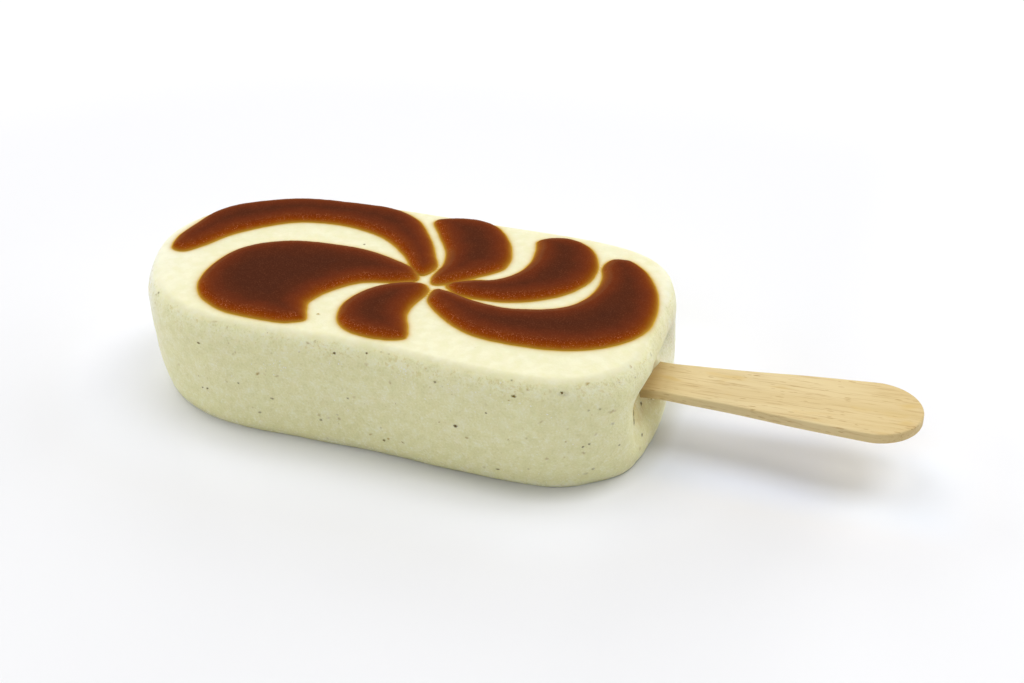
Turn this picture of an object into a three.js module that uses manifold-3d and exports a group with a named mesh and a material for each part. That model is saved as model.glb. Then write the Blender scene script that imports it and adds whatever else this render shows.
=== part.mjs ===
// A vanilla ice cream bar on a wooden stick, with six caramel sauce petals on its top face.
//
// Millimetres, +Z up. The bar lies flat on its base with the stick along +X. Everything is drawn
// around the middle of the ice cream's footprint, and the finished group is then moved so that its
// origin is the middle of the underside of the whole object's bounding box.

import * as THREE from "three";
import { mergeVertices } from "three/addons/utils/BufferGeometryUtils.js";
import Module from "manifold-3d";

// ---- Driving dimensions ----

const barHeight = 24.4;
const rimRadius = 2.3; // rounding between the top face and the wall
const footRadius = 2; // rounding between the wall and the base
const belly = 0.9; // how far the wall swells at half its height
const flare = 0.2; // how far the base spreads past the rim at the plain end
const tuck = { from: 8, to: 38, far: 0.6, near: 1.4, blend: 12 }; // how much less it spreads by the stick

// The dimple that the stick pulls into its end: height, depth, middle and half width.
const dimple = [
  { height: 0, depth: 0, y: -9, width: 5 },
  { height: 3, depth: 0.3, y: -9, width: 5 },
  { height: 8.5, depth: 3.2, y: -6, width: 8.5 },
  { height: 11, depth: 3.3, y: -4.3, width: 10 },
  { height: 13.5, depth: 3, y: -4, width: 10 },
  { height: 18, depth: 1.2, y: -2.5, width: 9 },
  { height: 22, depth: 0.2, y: 1, width: 7 },
  { height: 24.4, depth: 0, y: 1, width: 6 },
];

const sauceHeight = 1.3;
const sauceEdge = 1.8; // width of the rounded edge of a petal
const slotGap = 0.3; // clearance of the slot all round the stick

const stick = { length: 94, thickness: 2, endLength: 8.6, edgeChamfer: 0.3, tilt: 2.6 };
const stickHalfWidths = [[0, 5], [14, 6.05], [26, 7.4], [38.4, 8.35]]; // [along from the waist, half width]
const stickWaist = { x: 53.4, y: -0.45, z: 11.25 };

// The bar's outline at the widest height, anticlockwise from the middle of its plain end.
const barOutline = [
  [-52.9, 0.5], [-51.4, -6], [-48, -13.2], [-42, -20.4], [-34, -24.6], [-25, -26.2], [-10, -25.7],
  [5, -25.3], [18, -26.2], [28, -26.8], [37, -26.4], [43.8, -24.2], [49.7, -19.6], [52.4, -12.5],
  [53.1, -4], [53, 3], [52.2, 9.5], [49.4, 18.2], [43.8, 23.6], [33.5, 26.3], [10, 26.5], [-16, 26.4],
  [-30, 25.2], [-40, 21.3], [-47.2, 14.9], [-51.5, 7.6],
];

// Each petal lies between two edges, which run from its root by the centre to its tip. The outer edge
// comes first when its outline is followed anticlockwise. Ribs join the edges at each station.
const petals = {
  sauce_petal_1: {
    root: [3.6, 1.4],
    outer: [[5, 3.6], [3.9, 7.2], [0, 14.5], [-5, 21], [-10.5, 24.1], [-20, 24.4], [-34.5, 21.8],
      [-44.4, 14], [-48.4, 5], [-49.3, -1.6]],
    tip: [-47.8, -4.8],
    inner: [[1.4, 2.7], [-3, 7.8], [-10, 13], [-20, 15.1], [-30, 13], [-39, 5], [-43, -2],
      [-45.2, -4.8]],
    stations: 24,
  },
  sauce_petal_2: {
    root: [3.1, -0.6],
    outer: [[1.4, 2], [-3.2, 4.4], [-10, 6.3], [-18, 6.4], [-27.6, 4.5], [-34.5, -0.6], [-37.1, -9],
      [-35, -17.5], [-28, -22.3], [-20, -23.1], [-13.6, -22.6]],
    tip: [-11, -21],
    inner: [[0, -2.7], [-6.5, -5], [-11, -10], [-13, -15], [-12.2, -18]],
    stations: 22,
  },
  sauce_petal_3: {
    root: [5.2, -2.7],
    outer: [[1.6, -3.3], [-2.7, -6], [-5.6, -10.3], [-6.3, -15], [-4.2, -19.9], [0, -22.1], [6.2, -22.1]],
    tip: [9, -20.8],
    inner: [[6.7, -4.4], [6.1, -9], [6.4, -14], [8.3, -18]],
    stations: 16,
  },
  sauce_petal_4: {
    root: [7.2, -1.1],
    outer: [[9.9, 0.2], [14, 4], [17.9, 8.5], [17.6, 13.6], [15, 19.5], [11.5, 23.6], [6.3, 25.4],
      [1.5, 24.3]],
    tip: [-1.8, 22.6],
    inner: [[6.1, 1.4], [6.4, 6], [5, 11], [1, 17.5]],
    stations: 16,
  },
  sauce_petal_5: {
    root: [10.2, -1.1],
    outer: [[12, -3], [17, -3.6], [23, -2.8], [30, 1], [34.5, 7], [35.5, 12.5], [33.9, 18.5], [30.6, 22.3],
      [26.4, 23.5], [22.6, 22.3]],
    tip: [21.1, 20.8],
    inner: [[13.5, 1.4], [18, 3.5], [21.4, 8], [22.3, 13.5], [21.6, 18.4]],
    stations: 18,
  },
  sauce_petal_6: {
    root: [8.2, -3.8],
    outer: [[8.1, -6.4], [12.5, -11.5], [19, -15.4], [28, -16.4], [39, -14.8], [46, -10.5], [49.6, -5.5],
      [50.2, 0], [49, 7.5], [45.3, 14.8], [41, 18.6]],
    tip: [37.9, 18.5],
    inner: [[10.8, -3.7], [16, -5], [22, -5.8], [28.5, -4.5], [34, -1.5], [37, 4], [37.4, 11],
      [36.3, 15.8]],
    stations: 24,
  },
};

// ---- Fineness of the meshes ----

const outlineSteps = 96;
const petalSteps = 160;
const flankSteps = 8;
const endSteps = 9;
const wallHeights = [footRadius, 4, 6, 8, 10, 12, 14, 17, 19.5];
const footSteps = [0, 0.15, 0.6]; // shares of the foot's rounding
const rimSteps = [0, 0.5, 0.8, 0.95, 1]; // shares of the rim's rounding
const sauceEdgeSteps = [0, 0.12, 0.45, 1]; // shares of the sauce's rounded edge
const weldDistance = 1e-4;

const finishes = {
  iceCream: { color: 0xf3f0ca, roughness: 0.6, metalness: 0 },
  sauce: { color: 0x66341a, roughness: 0.3, metalness: 0 },
  wood: { color: 0xe2c99a, roughness: 0.65, metalness: 0 },
};

// ---- Curves in plan ----

// A smooth line through the points, divided into equal lengths.
function smoothLine(points, divisions, closed) {
  const corners = points.map(([x, y]) => new THREE.Vector3(x, y, 0));
  const curve = new THREE.CatmullRomCurve3(corners, closed, "centripetal");
  curve.arcLengthDivisions = 20 * divisions;
  const spaced = curve.getSpacedPoints(divisions).map((p) => new THREE.Vector2(p.x, p.y));
  return closed ? spaced.slice(0, -1) : spaced;
}

function distanceToSegment(point, a, b) {
  const along = b.clone().sub(a);
  const t = THREE.MathUtils.clamp(point.clone().sub(a).dot(along) / along.lengthSq(), 0, 1);
  return point.distanceTo(a.clone().addScaledVector(along, t));
}

function distanceToOutline(point, outline) {
  return Math.min(...outline.map((a, i) => distanceToSegment(point, a, outline[(i + 1) % outline.length])));
}

// The height of a quarter round of the given radius, at a distance in from its edge.
function quarterRound(distance, radius) {
  const short = Math.max(0, 1 - distance / radius);
  return radius * Math.sqrt(1 - short * short);
}

// ---- Closed meshes ----

function bodyFrom(positions, triangles) {
  const geometry = new THREE.BufferGeometry();
  geometry.setAttribute("position", new THREE.Float32BufferAttribute(positions, 3));
  geometry.setIndex(triangles);
  geometry.computeVertexNormals();
  return geometry;
}

// The triangles that fill an anticlockwise ring, as seen from above.
function flatLid(ring) {
  return THREE.ShapeUtils.triangulateShape(ring.map((p) => new THREE.Vector2(p.x, p.y)), []);
}

// Skins a stack of rings, lowest first, each anticlockwise, and closes it with flat lids.
function loft(rings) {
  const count = rings[0].length;
  const triangles = [];
  for (let level = 0; level + 1 < rings.length; level += 1) {
    for (let i = 0; i < count; i += 1) {
      const [a, b] = [level * count + i, level * count + ((i + 1) % count)];
      triangles.push(a, b, b + count, a, b + count, a + count);
    }
  }
  const lastRing = (rings.length - 1) * count;
  flatLid(rings[0]).forEach(([a, b, c]) => triangles.push(a, c, b));
  flatLid(rings.at(-1)).forEach(([a, b, c]) => triangles.push(lastRing + a, lastRing + b, lastRing + c));
  return bodyFrom(rings.flat().flatMap((p) => [p.x, p.y, p.z]), triangles);
}

// The first mesh with the second taken out of it.
async function cut(geometry, cutter) {
  const wasm = await Module();
  wasm.setup();
  const [kept, removed] = [geometry, cutter].map((source) => {
    const bare = source.clone().deleteAttribute("normal").deleteAttribute("uv");
    const merged = mergeVertices(bare, weldDistance);
    const vertProperties = new Float32Array(merged.attributes.position.array);
    const triVerts = new Uint32Array(merged.index.array);
    return new wasm.Manifold(new wasm.Mesh({ numProp: 3, vertProperties, triVerts }));
  });
  const result = kept.subtract(removed).getMesh();
  return bodyFrom(Array.from(result.vertProperties), Array.from(result.triVerts));
}

// ---- Ice cream ----

const wallOutline = smoothLine(barOutline, outlineSteps, true);

// How far the wall stands out from the rim's outline at a height.
function wallOffset({ x, y }, height) {
  const down = 1 - height / barHeight;
  const nearSide = THREE.MathUtils.smoothstep(-y, -tuck.blend, tuck.blend);
  const mostTucked = THREE.MathUtils.lerp(tuck.far, tuck.near, nearSide);
  const tucked = mostTucked * THREE.MathUtils.smoothstep(x, tuck.from, tuck.to);
  const rim = rimRadius - quarterRound(barHeight - height, rimRadius);
  const foot = footRadius - quarterRound(height, footRadius);
  return (flare - tucked) * down + 4 * belly * down * (1 - down) - rim - foot;
}

// How far the dimple reaches into the stick's end at a height, eased between the rows of its table.
function dimpleDepth({ x, y }, height) {
  const next = Math.max(1, dimple.findIndex((row) => row.height >= height));
  const [below, above] = [dimple[next - 1], dimple[next]];
  const share = THREE.MathUtils.smoothstep(height, below.height, above.height);
  const eased = (key) => THREE.MathUtils.lerp(below[key], above[key], share);
  const acrossShare = Math.exp(-(((y - eased("y")) / eased("width")) ** 6));
  return x > 0 ? eased("depth") * acrossShare : 0;
}

// The bar's ring at a height: the outline moved out or in with the wall, and dimpled at the stick.
function barRing(height) {
  return wallOutline.map((point, i) => {
    const before = wallOutline.at(i - 1);
    const after = wallOutline[(i + 1) % wallOutline.length];
    const outward = new THREE.Vector2(after.y - before.y, before.x - after.x).normalize();
    const place = point.clone().addScaledVector(outward, wallOffset(point, height));
    return new THREE.Vector3(place.x - dimpleDepth(place, height), place.y, height);
  });
}

function barGeometry() {
  const footHeights = footSteps.map((step) => step * footRadius);
  const rimHeights = rimSteps.map((step) => barHeight - rimRadius * (1 - step));
  return loft([...footHeights, ...wallHeights, ...rimHeights].map(barRing));
}

// ---- Stick ----

// A flat stick with a narrow waist and rounded ends, standing off by grow on every side.
function stickGeometry(grow) {
  const endStart = stick.length / 2 - stick.endLength;
  const flank = smoothLine(stickHalfWidths, flankSteps, false).map((p) => new THREE.Vector2(p.x, p.y + grow));
  const endRadii = [stick.endLength + grow, flank.at(-1).y];
  const roundEnd = new THREE.EllipseCurve(endStart, 0, ...endRadii, Math.PI / 2, 0, true);
  const quarter = [...flank, ...roundEnd.getPoints(endSteps).slice(1)];
  const mirrored = (list, sx, sy) => list.map((p) => new THREE.Vector2(sx * p.x, sy * p.y));
  const outline = [
    ...quarter.toReversed(),
    ...mirrored(quarter, -1, 1).slice(1),
    ...mirrored(quarter, -1, -1).toReversed().slice(1),
    ...mirrored(quarter, 1, -1).slice(1, -1),
  ];
  const bevel = stick.edgeChamfer;
  const thickness = stick.thickness + 2 * grow;
  const geometry = new THREE.ExtrudeGeometry(new THREE.Shape(outline), {
    depth: thickness - 2 * bevel,
    bevelThickness: bevel,
    bevelSize: bevel,
    bevelOffset: -bevel,
    bevelSegments: 1,
  });
  return geometry.translate(0, 0, bevel - thickness / 2);
}

function atStick(geometry) {
  const pose = new THREE.Matrix4().makeRotationY(-THREE.MathUtils.degToRad(stick.tilt));
  pose.setPosition(stickWaist.x, stickWaist.y, stickWaist.z);
  return geometry.applyMatrix4(pose);
}

// ---- Sauce ----

// Where a rib is divided: closely over the rounded edges, and once in the middle.
function ribShares(width) {
  const edge = Math.min(sauceEdge, width / 3) / width;
  const shares = sauceEdgeSteps.map((step) => step * edge);
  return [...shares, 0.5, ...shares.toReversed().map((share) => 1 - share)];
}

// A petal's two edges from its root to its tip, each divided into as many equal lengths.
function petalEdges({ root, outer, tip, inner, stations }) {
  const loop = smoothLine([root, ...outer, tip, ...inner.toReversed()], petalSteps, true);
  const distances = loop.map((p) => p.distanceTo(new THREE.Vector2(...tip)));
  const tipIndex = distances.indexOf(Math.min(...distances));
  const edges = [loop.slice(0, tipIndex + 1), [...loop.slice(tipIndex), loop[0]].toReversed()];
  return edges.map((edge) => smoothLine(edge.map((p) => [p.x, p.y]), stations, false));
}

// Fills the strips between neighbouring ribs, which are lists of point numbers. The first and the
// last rib are single points.
function fillStrips(ribs) {
  const triangles = [];
  const at = (rib, i) => rib[Math.min(i, rib.length - 1)];
  for (let r = 0; r + 1 < ribs.length; r += 1) {
    const [from, to] = [ribs[r], ribs[r + 1]];
    for (let i = 0; i + 1 < Math.max(from.length, to.length); i += 1) {
      const [a, b, c, d] = [at(from, i), at(to, i), at(to, i + 1), at(from, i + 1)];
      if (b !== c) triangles.push(a, b, c);
      if (a !== d) triangles.push(a, c, d);
    }
  }
  return triangles;
}

// A domed petal on a flat underside. Ribs join the two edges from root to tip, and the dome's height
// at a point on a rib comes from its distance to the outline.
function petalGeometry(petal) {
  const [outerEdge, innerEdge] = petalEdges(petal);
  const points = [];
  const ribs = outerEdge.map((start, i) => {
    const end = innerEdge[i];
    const shares = start.equals(end) ? [0] : ribShares(start.distanceTo(end));
    return shares.map((share) => points.push(start.clone().lerp(end, share)) - 1);
  });

  const backAlong = ribs.slice(1, -1).map((rib) => rib.at(-1)).toReversed();
  const rim = [...ribs.map((rib) => rib[0]), ...backAlong];
  const triangles = fillStrips(ribs);
  const outline = rim.map((i) => points[i]);
  flatLid(outline).forEach(([a, b, c]) => triangles.push(rim[a], rim[c], rim[b]));
  const domeShare = (p) => quarterRound(distanceToOutline(p, outline), sauceEdge) / sauceEdge;
  return bodyFrom(points.flatMap((p) => [p.x, p.y, barHeight + sauceHeight * domeShare(p)]), triangles);
}

// ---- Assembly ----

const bar = new THREE.Group();

function add(name, geometry, finish) {
  const mesh = new THREE.Mesh(geometry, new THREE.MeshStandardMaterial(finish));
  mesh.name = name;
  bar.add(mesh);
}

add("ice_cream_body", await cut(barGeometry(), atStick(stickGeometry(slotGap))), finishes.iceCream);
add("stick", atStick(stickGeometry(0)), finishes.wood);
Object.entries(petals).forEach(([name, petal]) => add(name, petalGeometry(petal), finishes.sauce));

const bounds = new THREE.Box3().setFromObject(bar);
const middle = bounds.getCenter(new THREE.Vector3());
bar.position.set(-middle.x, -middle.y, -bounds.min.z);

export default bar;
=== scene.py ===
"""A vanilla ice cream bar on a wooden stick, with caramel sauce petals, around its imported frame.

Everything is in metres in the frame's own axes: X runs along the bar towards the stick's end, Y
across the bar, and Z up out of the face with the sauce. Sizes are written in millimetres.
"""

import logging
import math
import random
from dataclasses import dataclass
from enum import Enum

import bmesh
import bpy
import numpy as np
from bpy.types import ID, Material, Node, NodeSocket, NodeTree, Object
from mathutils import Matrix, Vector, noise
from mathutils.bvhtree import BVHTree
from mathutils.geometry import delaunay_2d_cdt


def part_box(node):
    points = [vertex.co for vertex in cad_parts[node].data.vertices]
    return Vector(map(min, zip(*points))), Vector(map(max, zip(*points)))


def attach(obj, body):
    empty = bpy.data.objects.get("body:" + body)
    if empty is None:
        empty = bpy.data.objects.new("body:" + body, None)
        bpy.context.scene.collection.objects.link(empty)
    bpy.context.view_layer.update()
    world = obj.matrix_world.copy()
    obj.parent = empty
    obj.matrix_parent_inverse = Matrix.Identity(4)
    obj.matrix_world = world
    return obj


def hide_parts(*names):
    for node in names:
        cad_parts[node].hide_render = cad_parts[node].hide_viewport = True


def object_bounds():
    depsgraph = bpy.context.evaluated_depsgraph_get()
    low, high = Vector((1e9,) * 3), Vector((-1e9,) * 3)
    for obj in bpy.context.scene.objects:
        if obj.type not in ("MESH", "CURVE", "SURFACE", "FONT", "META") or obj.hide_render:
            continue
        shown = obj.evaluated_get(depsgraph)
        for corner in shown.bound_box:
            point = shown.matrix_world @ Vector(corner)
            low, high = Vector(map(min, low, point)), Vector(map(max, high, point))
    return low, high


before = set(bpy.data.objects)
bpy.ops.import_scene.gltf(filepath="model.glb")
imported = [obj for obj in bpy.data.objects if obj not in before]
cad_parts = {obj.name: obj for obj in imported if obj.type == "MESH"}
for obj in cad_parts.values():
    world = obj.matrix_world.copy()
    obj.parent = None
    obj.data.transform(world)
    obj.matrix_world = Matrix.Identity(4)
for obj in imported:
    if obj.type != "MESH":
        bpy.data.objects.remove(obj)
BOX = [tuple(corner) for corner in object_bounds()]

MM = 0.001
SAME_PLACE = 0.001 * MM  # points this close together are one point
TINY = 1e-18  # keeps a division from meeting zero
JOINED_WITHIN = 1e-9  # the gap at which the triangulation joins two corners
ONLY_INSIDE = 1  # the triangulation's number for keeping only what is inside a loop
CURVE_STEPS = 16  # steps between two corners of a curve
TRIANGLE_HEIGHT = math.sqrt(0.75)  # the height of an even triangle with sides of 1
GRID_ROOM = 0.6  # how many spacings the points that fill a loop keep clear of it
UNFOLDED = 0.97  # the share of its distance that a followed loop keeps where it has not folded
OUTSIDE = 0.1  # a distance that is well outside the bar
CLEAR_OF_SAUCE = 99.0  # a distance in millimetres at which nothing is stained
WHITE = (1.0, 1.0, 1.0, 1.0)
INWARD = "inward"  # a mesh's values: millimetres in from the edge of the sauce
STAIN = "stain"  # a mesh's values: millimetres from the sauce
CORE = "core"  # a mesh's values: the share of a speck's own tone
BODY = "root"  # the frame's one body

Faces = list[tuple[int, ...]]
Ground = tuple[Vector, Vector]

log = logging.getLogger("ice_cream_bar")


class Slot(Enum):
    """Names for the bar's three materials."""

    ICE_CREAM = "ice_cream"
    SAUCE = "sauce"
    WOOD = "wood"


class Face(Enum):
    """The faces of the bar that a fleck can be placed on."""

    TOP = "top"
    NEAR_SIDE = "near side"
    STICK_END = "end by the stick"


# ---- Colours ----


def linear(red: int, green: int, blue: int) -> tuple[float, float, float, float]:
    """Turns a colour as it is seen into the light values that shaders use.

    Args:
        red: Red, 0 to 255.
        green: Green, 0 to 255.
        blue: Blue, 0 to 255.

    Returns:
        The linear colour, with full alpha.
    """
    shares = [value / 255 for value in (red, green, blue)]
    light = [s / 12.92 if s <= 0.04045 else ((s + 0.055) / 1.055) ** 2.4 for s in shares]
    return (light[0], light[1], light[2], 1.0)


# ---- Node trees ----


class Sketch:
    """A node tree with short ways to add and join nodes."""

    def __init__(self, tree: NodeTree) -> None:
        """Keeps the tree that nodes are added to."""
        self.tree = tree

    def plug(self, socket: NodeSocket, value: object) -> None:
        """Links a socket to another one, or gives it a plain value.

        Args:
            socket: The input.
            value: An output socket, a number, a vector or a colour.
        """
        if isinstance(value, NodeSocket):
            self.tree.links.new(value, socket)
        else:
            socket.default_value = value

    def add(self, kind: str, inputs: dict | None = None, **settings: object) -> Node:
        """Adds a node.

        Args:
            kind: The node's type, without its ShaderNode prefix.
            inputs: Values or links by input name or number.
            **settings: Properties of the node.

        Returns:
            The node.
        """
        node = self.tree.nodes.new("ShaderNode" + kind)
        for key, value in settings.items():
            setattr(node, key, value)
        for key, value in (inputs or {}).items():
            self.plug(node.inputs[key], value)
        return node

    def math(self, operation: str, a: object, b: object = 0.0, c: object = 0.0) -> NodeSocket:
        """Returns the result of a Math node."""
        return self.add("Math", {0: a, 1: b, 2: c}, operation=operation).outputs[0]

    def scaled(self, value: object, factor: object, extra: object) -> NodeSocket:
        """Returns a value times a factor, with something more added."""
        return self.math("MULTIPLY_ADD", value, factor, extra)

    def times(self, first: object, *others: object) -> object:
        """Returns the product of some values.

        Args:
            first: The first value.
            *others: The values it is multiplied by.

        Returns:
            The product's socket, or the first value if it is alone.
        """
        for other in others:
            first = self.math("MULTIPLY", first, other)
        return first

    def vector(self, operation: str, a: object, b: object = (0.0, 0.0, 0.0)) -> NodeSocket:
        """Returns the vector that a Vector Math node gives."""
        return self.add("VectorMath", {0: a, 1: b}, operation=operation).outputs["Vector"]

    def length(self, vector: object) -> NodeSocket:
        """Returns the length of a vector."""
        return self.add("VectorMath", {0: vector}, operation="LENGTH").outputs["Value"]

    def rise(self, value: object, low: object, high: object) -> NodeSocket:
        """Returns 0 where the value is at low, 1 where it is at high, and a smooth step between."""
        inputs = {"Value": value, "From Min": low, "From Max": high}
        return self.add("MapRange", inputs, interpolation_type="SMOOTHSTEP").outputs["Result"]

    def noise(self, where: object, scale: object, detail: float = 2.0, rough: float = 0.5) -> NodeSocket:
        """Returns the value of a noise texture."""
        inputs = {"Vector": where, "Scale": scale, "Detail": detail, "Roughness": rough}
        return self.add("TexNoise", inputs).outputs["Fac"]

    def paint(self, colour: object, tone: object, *shares: object, blend: str = "MIX") -> NodeSocket:
        """Lays a tone over a colour.

        Args:
            colour: The colour below.
            tone: The tone on top.
            *shares: How much the tone shows, as values that are multiplied.
            blend: How the two mix.

        Returns:
            The mixed colour.
        """
        node = self.add("Mix", data_type="RGBA", blend_type=blend)
        for key, value in ((0, self.times(*shares)), (6, colour), (7, tone)):
            self.plug(node.inputs[key], value)
        return node.outputs[2]

    def ramp(self, share: object, stops: list[tuple[float, tuple]]) -> NodeSocket:
        """Gives the colour of a ramp.

        Args:
            share: Where on the ramp, 0 to 1.
            stops: Places and colours, lowest first.

        Returns:
            The colour output.
        """
        node = self.add("ValToRGB", {"Fac": share})
        elements = node.color_ramp.elements
        while len(elements) < len(stops):
            elements.new(1.0)
        for element, (place, colour) in zip(elements, stops):
            element.position = place
            element.color = colour
        return node.outputs["Color"]

    def place(self, node_group: NodeTree, **inputs: object) -> object:
        """Places a node group with its own values.

        Args:
            node_group: The group.
            **inputs: Values or links by the group's input names.

        Returns:
            The group's outputs.
        """
        node = self.add("Group")
        node.node_tree = node_group
        for key, value in inputs.items():
            self.plug(node.inputs[key], value)
        return node.outputs

    def here(self) -> NodeSocket:
        """Returns the place on the surface, in the frame's axes."""
        return self.add("TexCoord").outputs["Object"]

    def axes(self, vector: object) -> object:
        """Returns a vector's X, Y and Z."""
        return self.add("SeparateXYZ", {"Vector": vector}).outputs

    def millimetres(self, where: object) -> NodeSocket:
        """Returns a place in millimetres."""
        return self.vector("MULTIPLY", where, (1 / MM,) * 3)

    def facing(self) -> object:
        """Returns the X, Y and Z of the way the surface faces."""
        return self.axes(self.add("NewGeometry").outputs["Normal"])

    def reading(self, name: str) -> NodeSocket:
        """Returns the values that a mesh carries under a name."""
        return self.add("Attribute", attribute_name=name).outputs["Fac"]

    def relief(self, height: object, distance: float) -> NodeSocket:
        """Returns a normal bent by a height from 0 to 1 over a distance."""
        return self.add("Bump", {"Height": height, "Distance": distance}).outputs["Normal"]


def new_group(name: str, inputs: dict[str, str], outputs: dict[str, str]) -> tuple[Sketch, object, object]:
    """Makes an empty shader node group.

    Args:
        name: The group's name.
        inputs: Socket kinds by name.
        outputs: Socket kinds by name.

    Returns:
        A sketch of the group, what it is given, and the sockets for what it puts out.
    """
    group = bpy.data.node_groups.new(name, "ShaderNodeTree")
    for direction, sockets in (("INPUT", inputs), ("OUTPUT", outputs)):
        for socket, kind in sockets.items():
            group.interface.new_socket(socket, in_out=direction, socket_type="NodeSocket" + kind)
    given = group.nodes.new("NodeGroupInput").outputs
    return Sketch(group), given, group.nodes.new("NodeGroupOutput").inputs


@dataclass(frozen=True)
class SoftFlecks:
    """Scattered soft spots, such as seeds seen through a thin skin of cream."""

    wobble_scale: float = 900.0
    wobble_reach: float = 0.6 * MM
    least_size: float = 0.5

    def group(self) -> NodeTree:
        """Makes the group for the spots.

        Returns:
            The group. Mask is 1 on a spot, and Shade is a random share of its own for each spot.
        """
        inputs = {"Vector": "Vector", **dict.fromkeys(("Spacing", "Size", "Softness", "Share"), "Float")}
        sketch, given, result = new_group("soft_flecks", inputs, {"Mask": "Float", "Shade": "Float"})
        wobble = sketch.add("TexNoise", {"Vector": given["Vector"], "Scale": self.wobble_scale})
        shift = sketch.vector("SUBTRACT", wobble.outputs["Color"], (0.5, 0.5, 0.5))
        shift = sketch.vector("MULTIPLY", shift, (self.wobble_reach,) * 3)
        bent = sketch.vector("ADD", given["Vector"], shift)
        scale = sketch.math("DIVIDE", 1.0, given["Spacing"])
        cells = sketch.add("TexVoronoi", {"Vector": bent, "Scale": scale})
        away = sketch.times(cells.outputs["Distance"], given["Spacing"])
        tone = sketch.add("SeparateColor", {"Color": cells.outputs["Color"]}).outputs
        radius = sketch.times(given["Size"], sketch.math("ADD", tone["Green"], self.least_size))
        inside = sketch.rise(away, radius, sketch.math("SUBTRACT", radius, given["Softness"]))
        chosen = sketch.math("LESS_THAN", tone["Red"], given["Share"])
        sketch.plug(result["Mask"], sketch.times(inside, chosen))
        sketch.plug(result["Shade"], tone["Blue"])
        return sketch.tree


@dataclass(frozen=True)
class FrozenGrain:
    """Fine ice in a coarser clumping."""

    detail: float = 3.0
    fine_rough: float = 0.6
    coarse_rough: float = 0.55
    coarse_share: float = 0.2
    clumps: tuple = (0.42, 0.66)

    def group(self) -> NodeTree:
        """Makes the group for the grain.

        Returns:
            The group. Height is the relief, 0 to 1, and Clumps is where the grain is coarse.
        """
        inputs = {"Vector": "Vector", "Fine": "Float", "Coarse": "Float"}
        sketch, given, result = new_group("frozen_grain", inputs, {"Height": "Float", "Clumps": "Float"})
        fine = sketch.noise(given["Vector"], given["Fine"], self.detail, self.fine_rough)
        coarse = sketch.noise(given["Vector"], given["Coarse"], self.detail, self.coarse_rough)
        height = sketch.scaled(fine, 1 - self.coarse_share, sketch.times(coarse, self.coarse_share))
        sketch.plug(result["Height"], height)
        sketch.plug(result["Clumps"], sketch.rise(coarse, *self.clumps))
        return sketch.tree


@dataclass(frozen=True)
class Wash:
    """A tone laid over the cream. Its bands say where it starts and where it is full, in millimetres."""

    tone: tuple
    along: tuple = ()
    across: tuple = ()
    level: tuple = ()
    walls_only: bool = False
    share: float = 1.0

    def lay(self, sketch: Sketch, colour: NodeSocket, place: object, side: NodeSocket) -> NodeSocket:
        """Lays the tone over a colour.

        Args:
            sketch: The tree it is made in.
            colour: The colour below.
            place: The place's X, Y and Z in millimetres.
            side: 1 on an upright wall and 0 on a level face.

        Returns:
            The new colour.
        """
        bands = zip("XYZ", (self.along, self.across, self.level))
        shares = [sketch.rise(place[axis], *band) for axis, band in bands if band]
        return sketch.paint(colour, self.tone, *shares, side if self.walls_only else 1.0, self.share)


@dataclass(frozen=True)
class Spots:
    """Soft spots: how far apart, how big and how soft they are, and how many of them show."""

    spacing: float
    size: float
    softness: float
    share: float

    def place(self, sketch: Sketch, flecks: NodeTree, where: object) -> object:
        """Places the spots in a tree.

        Args:
            sketch: The tree.
            flecks: The group for soft spots.
            where: The place.

        Returns:
            The group's outputs.
        """
        values = {"Spacing": self.spacing, "Size": self.size, "Softness": self.softness}
        return sketch.place(flecks, Vector=where, Share=self.share, **values)


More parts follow.
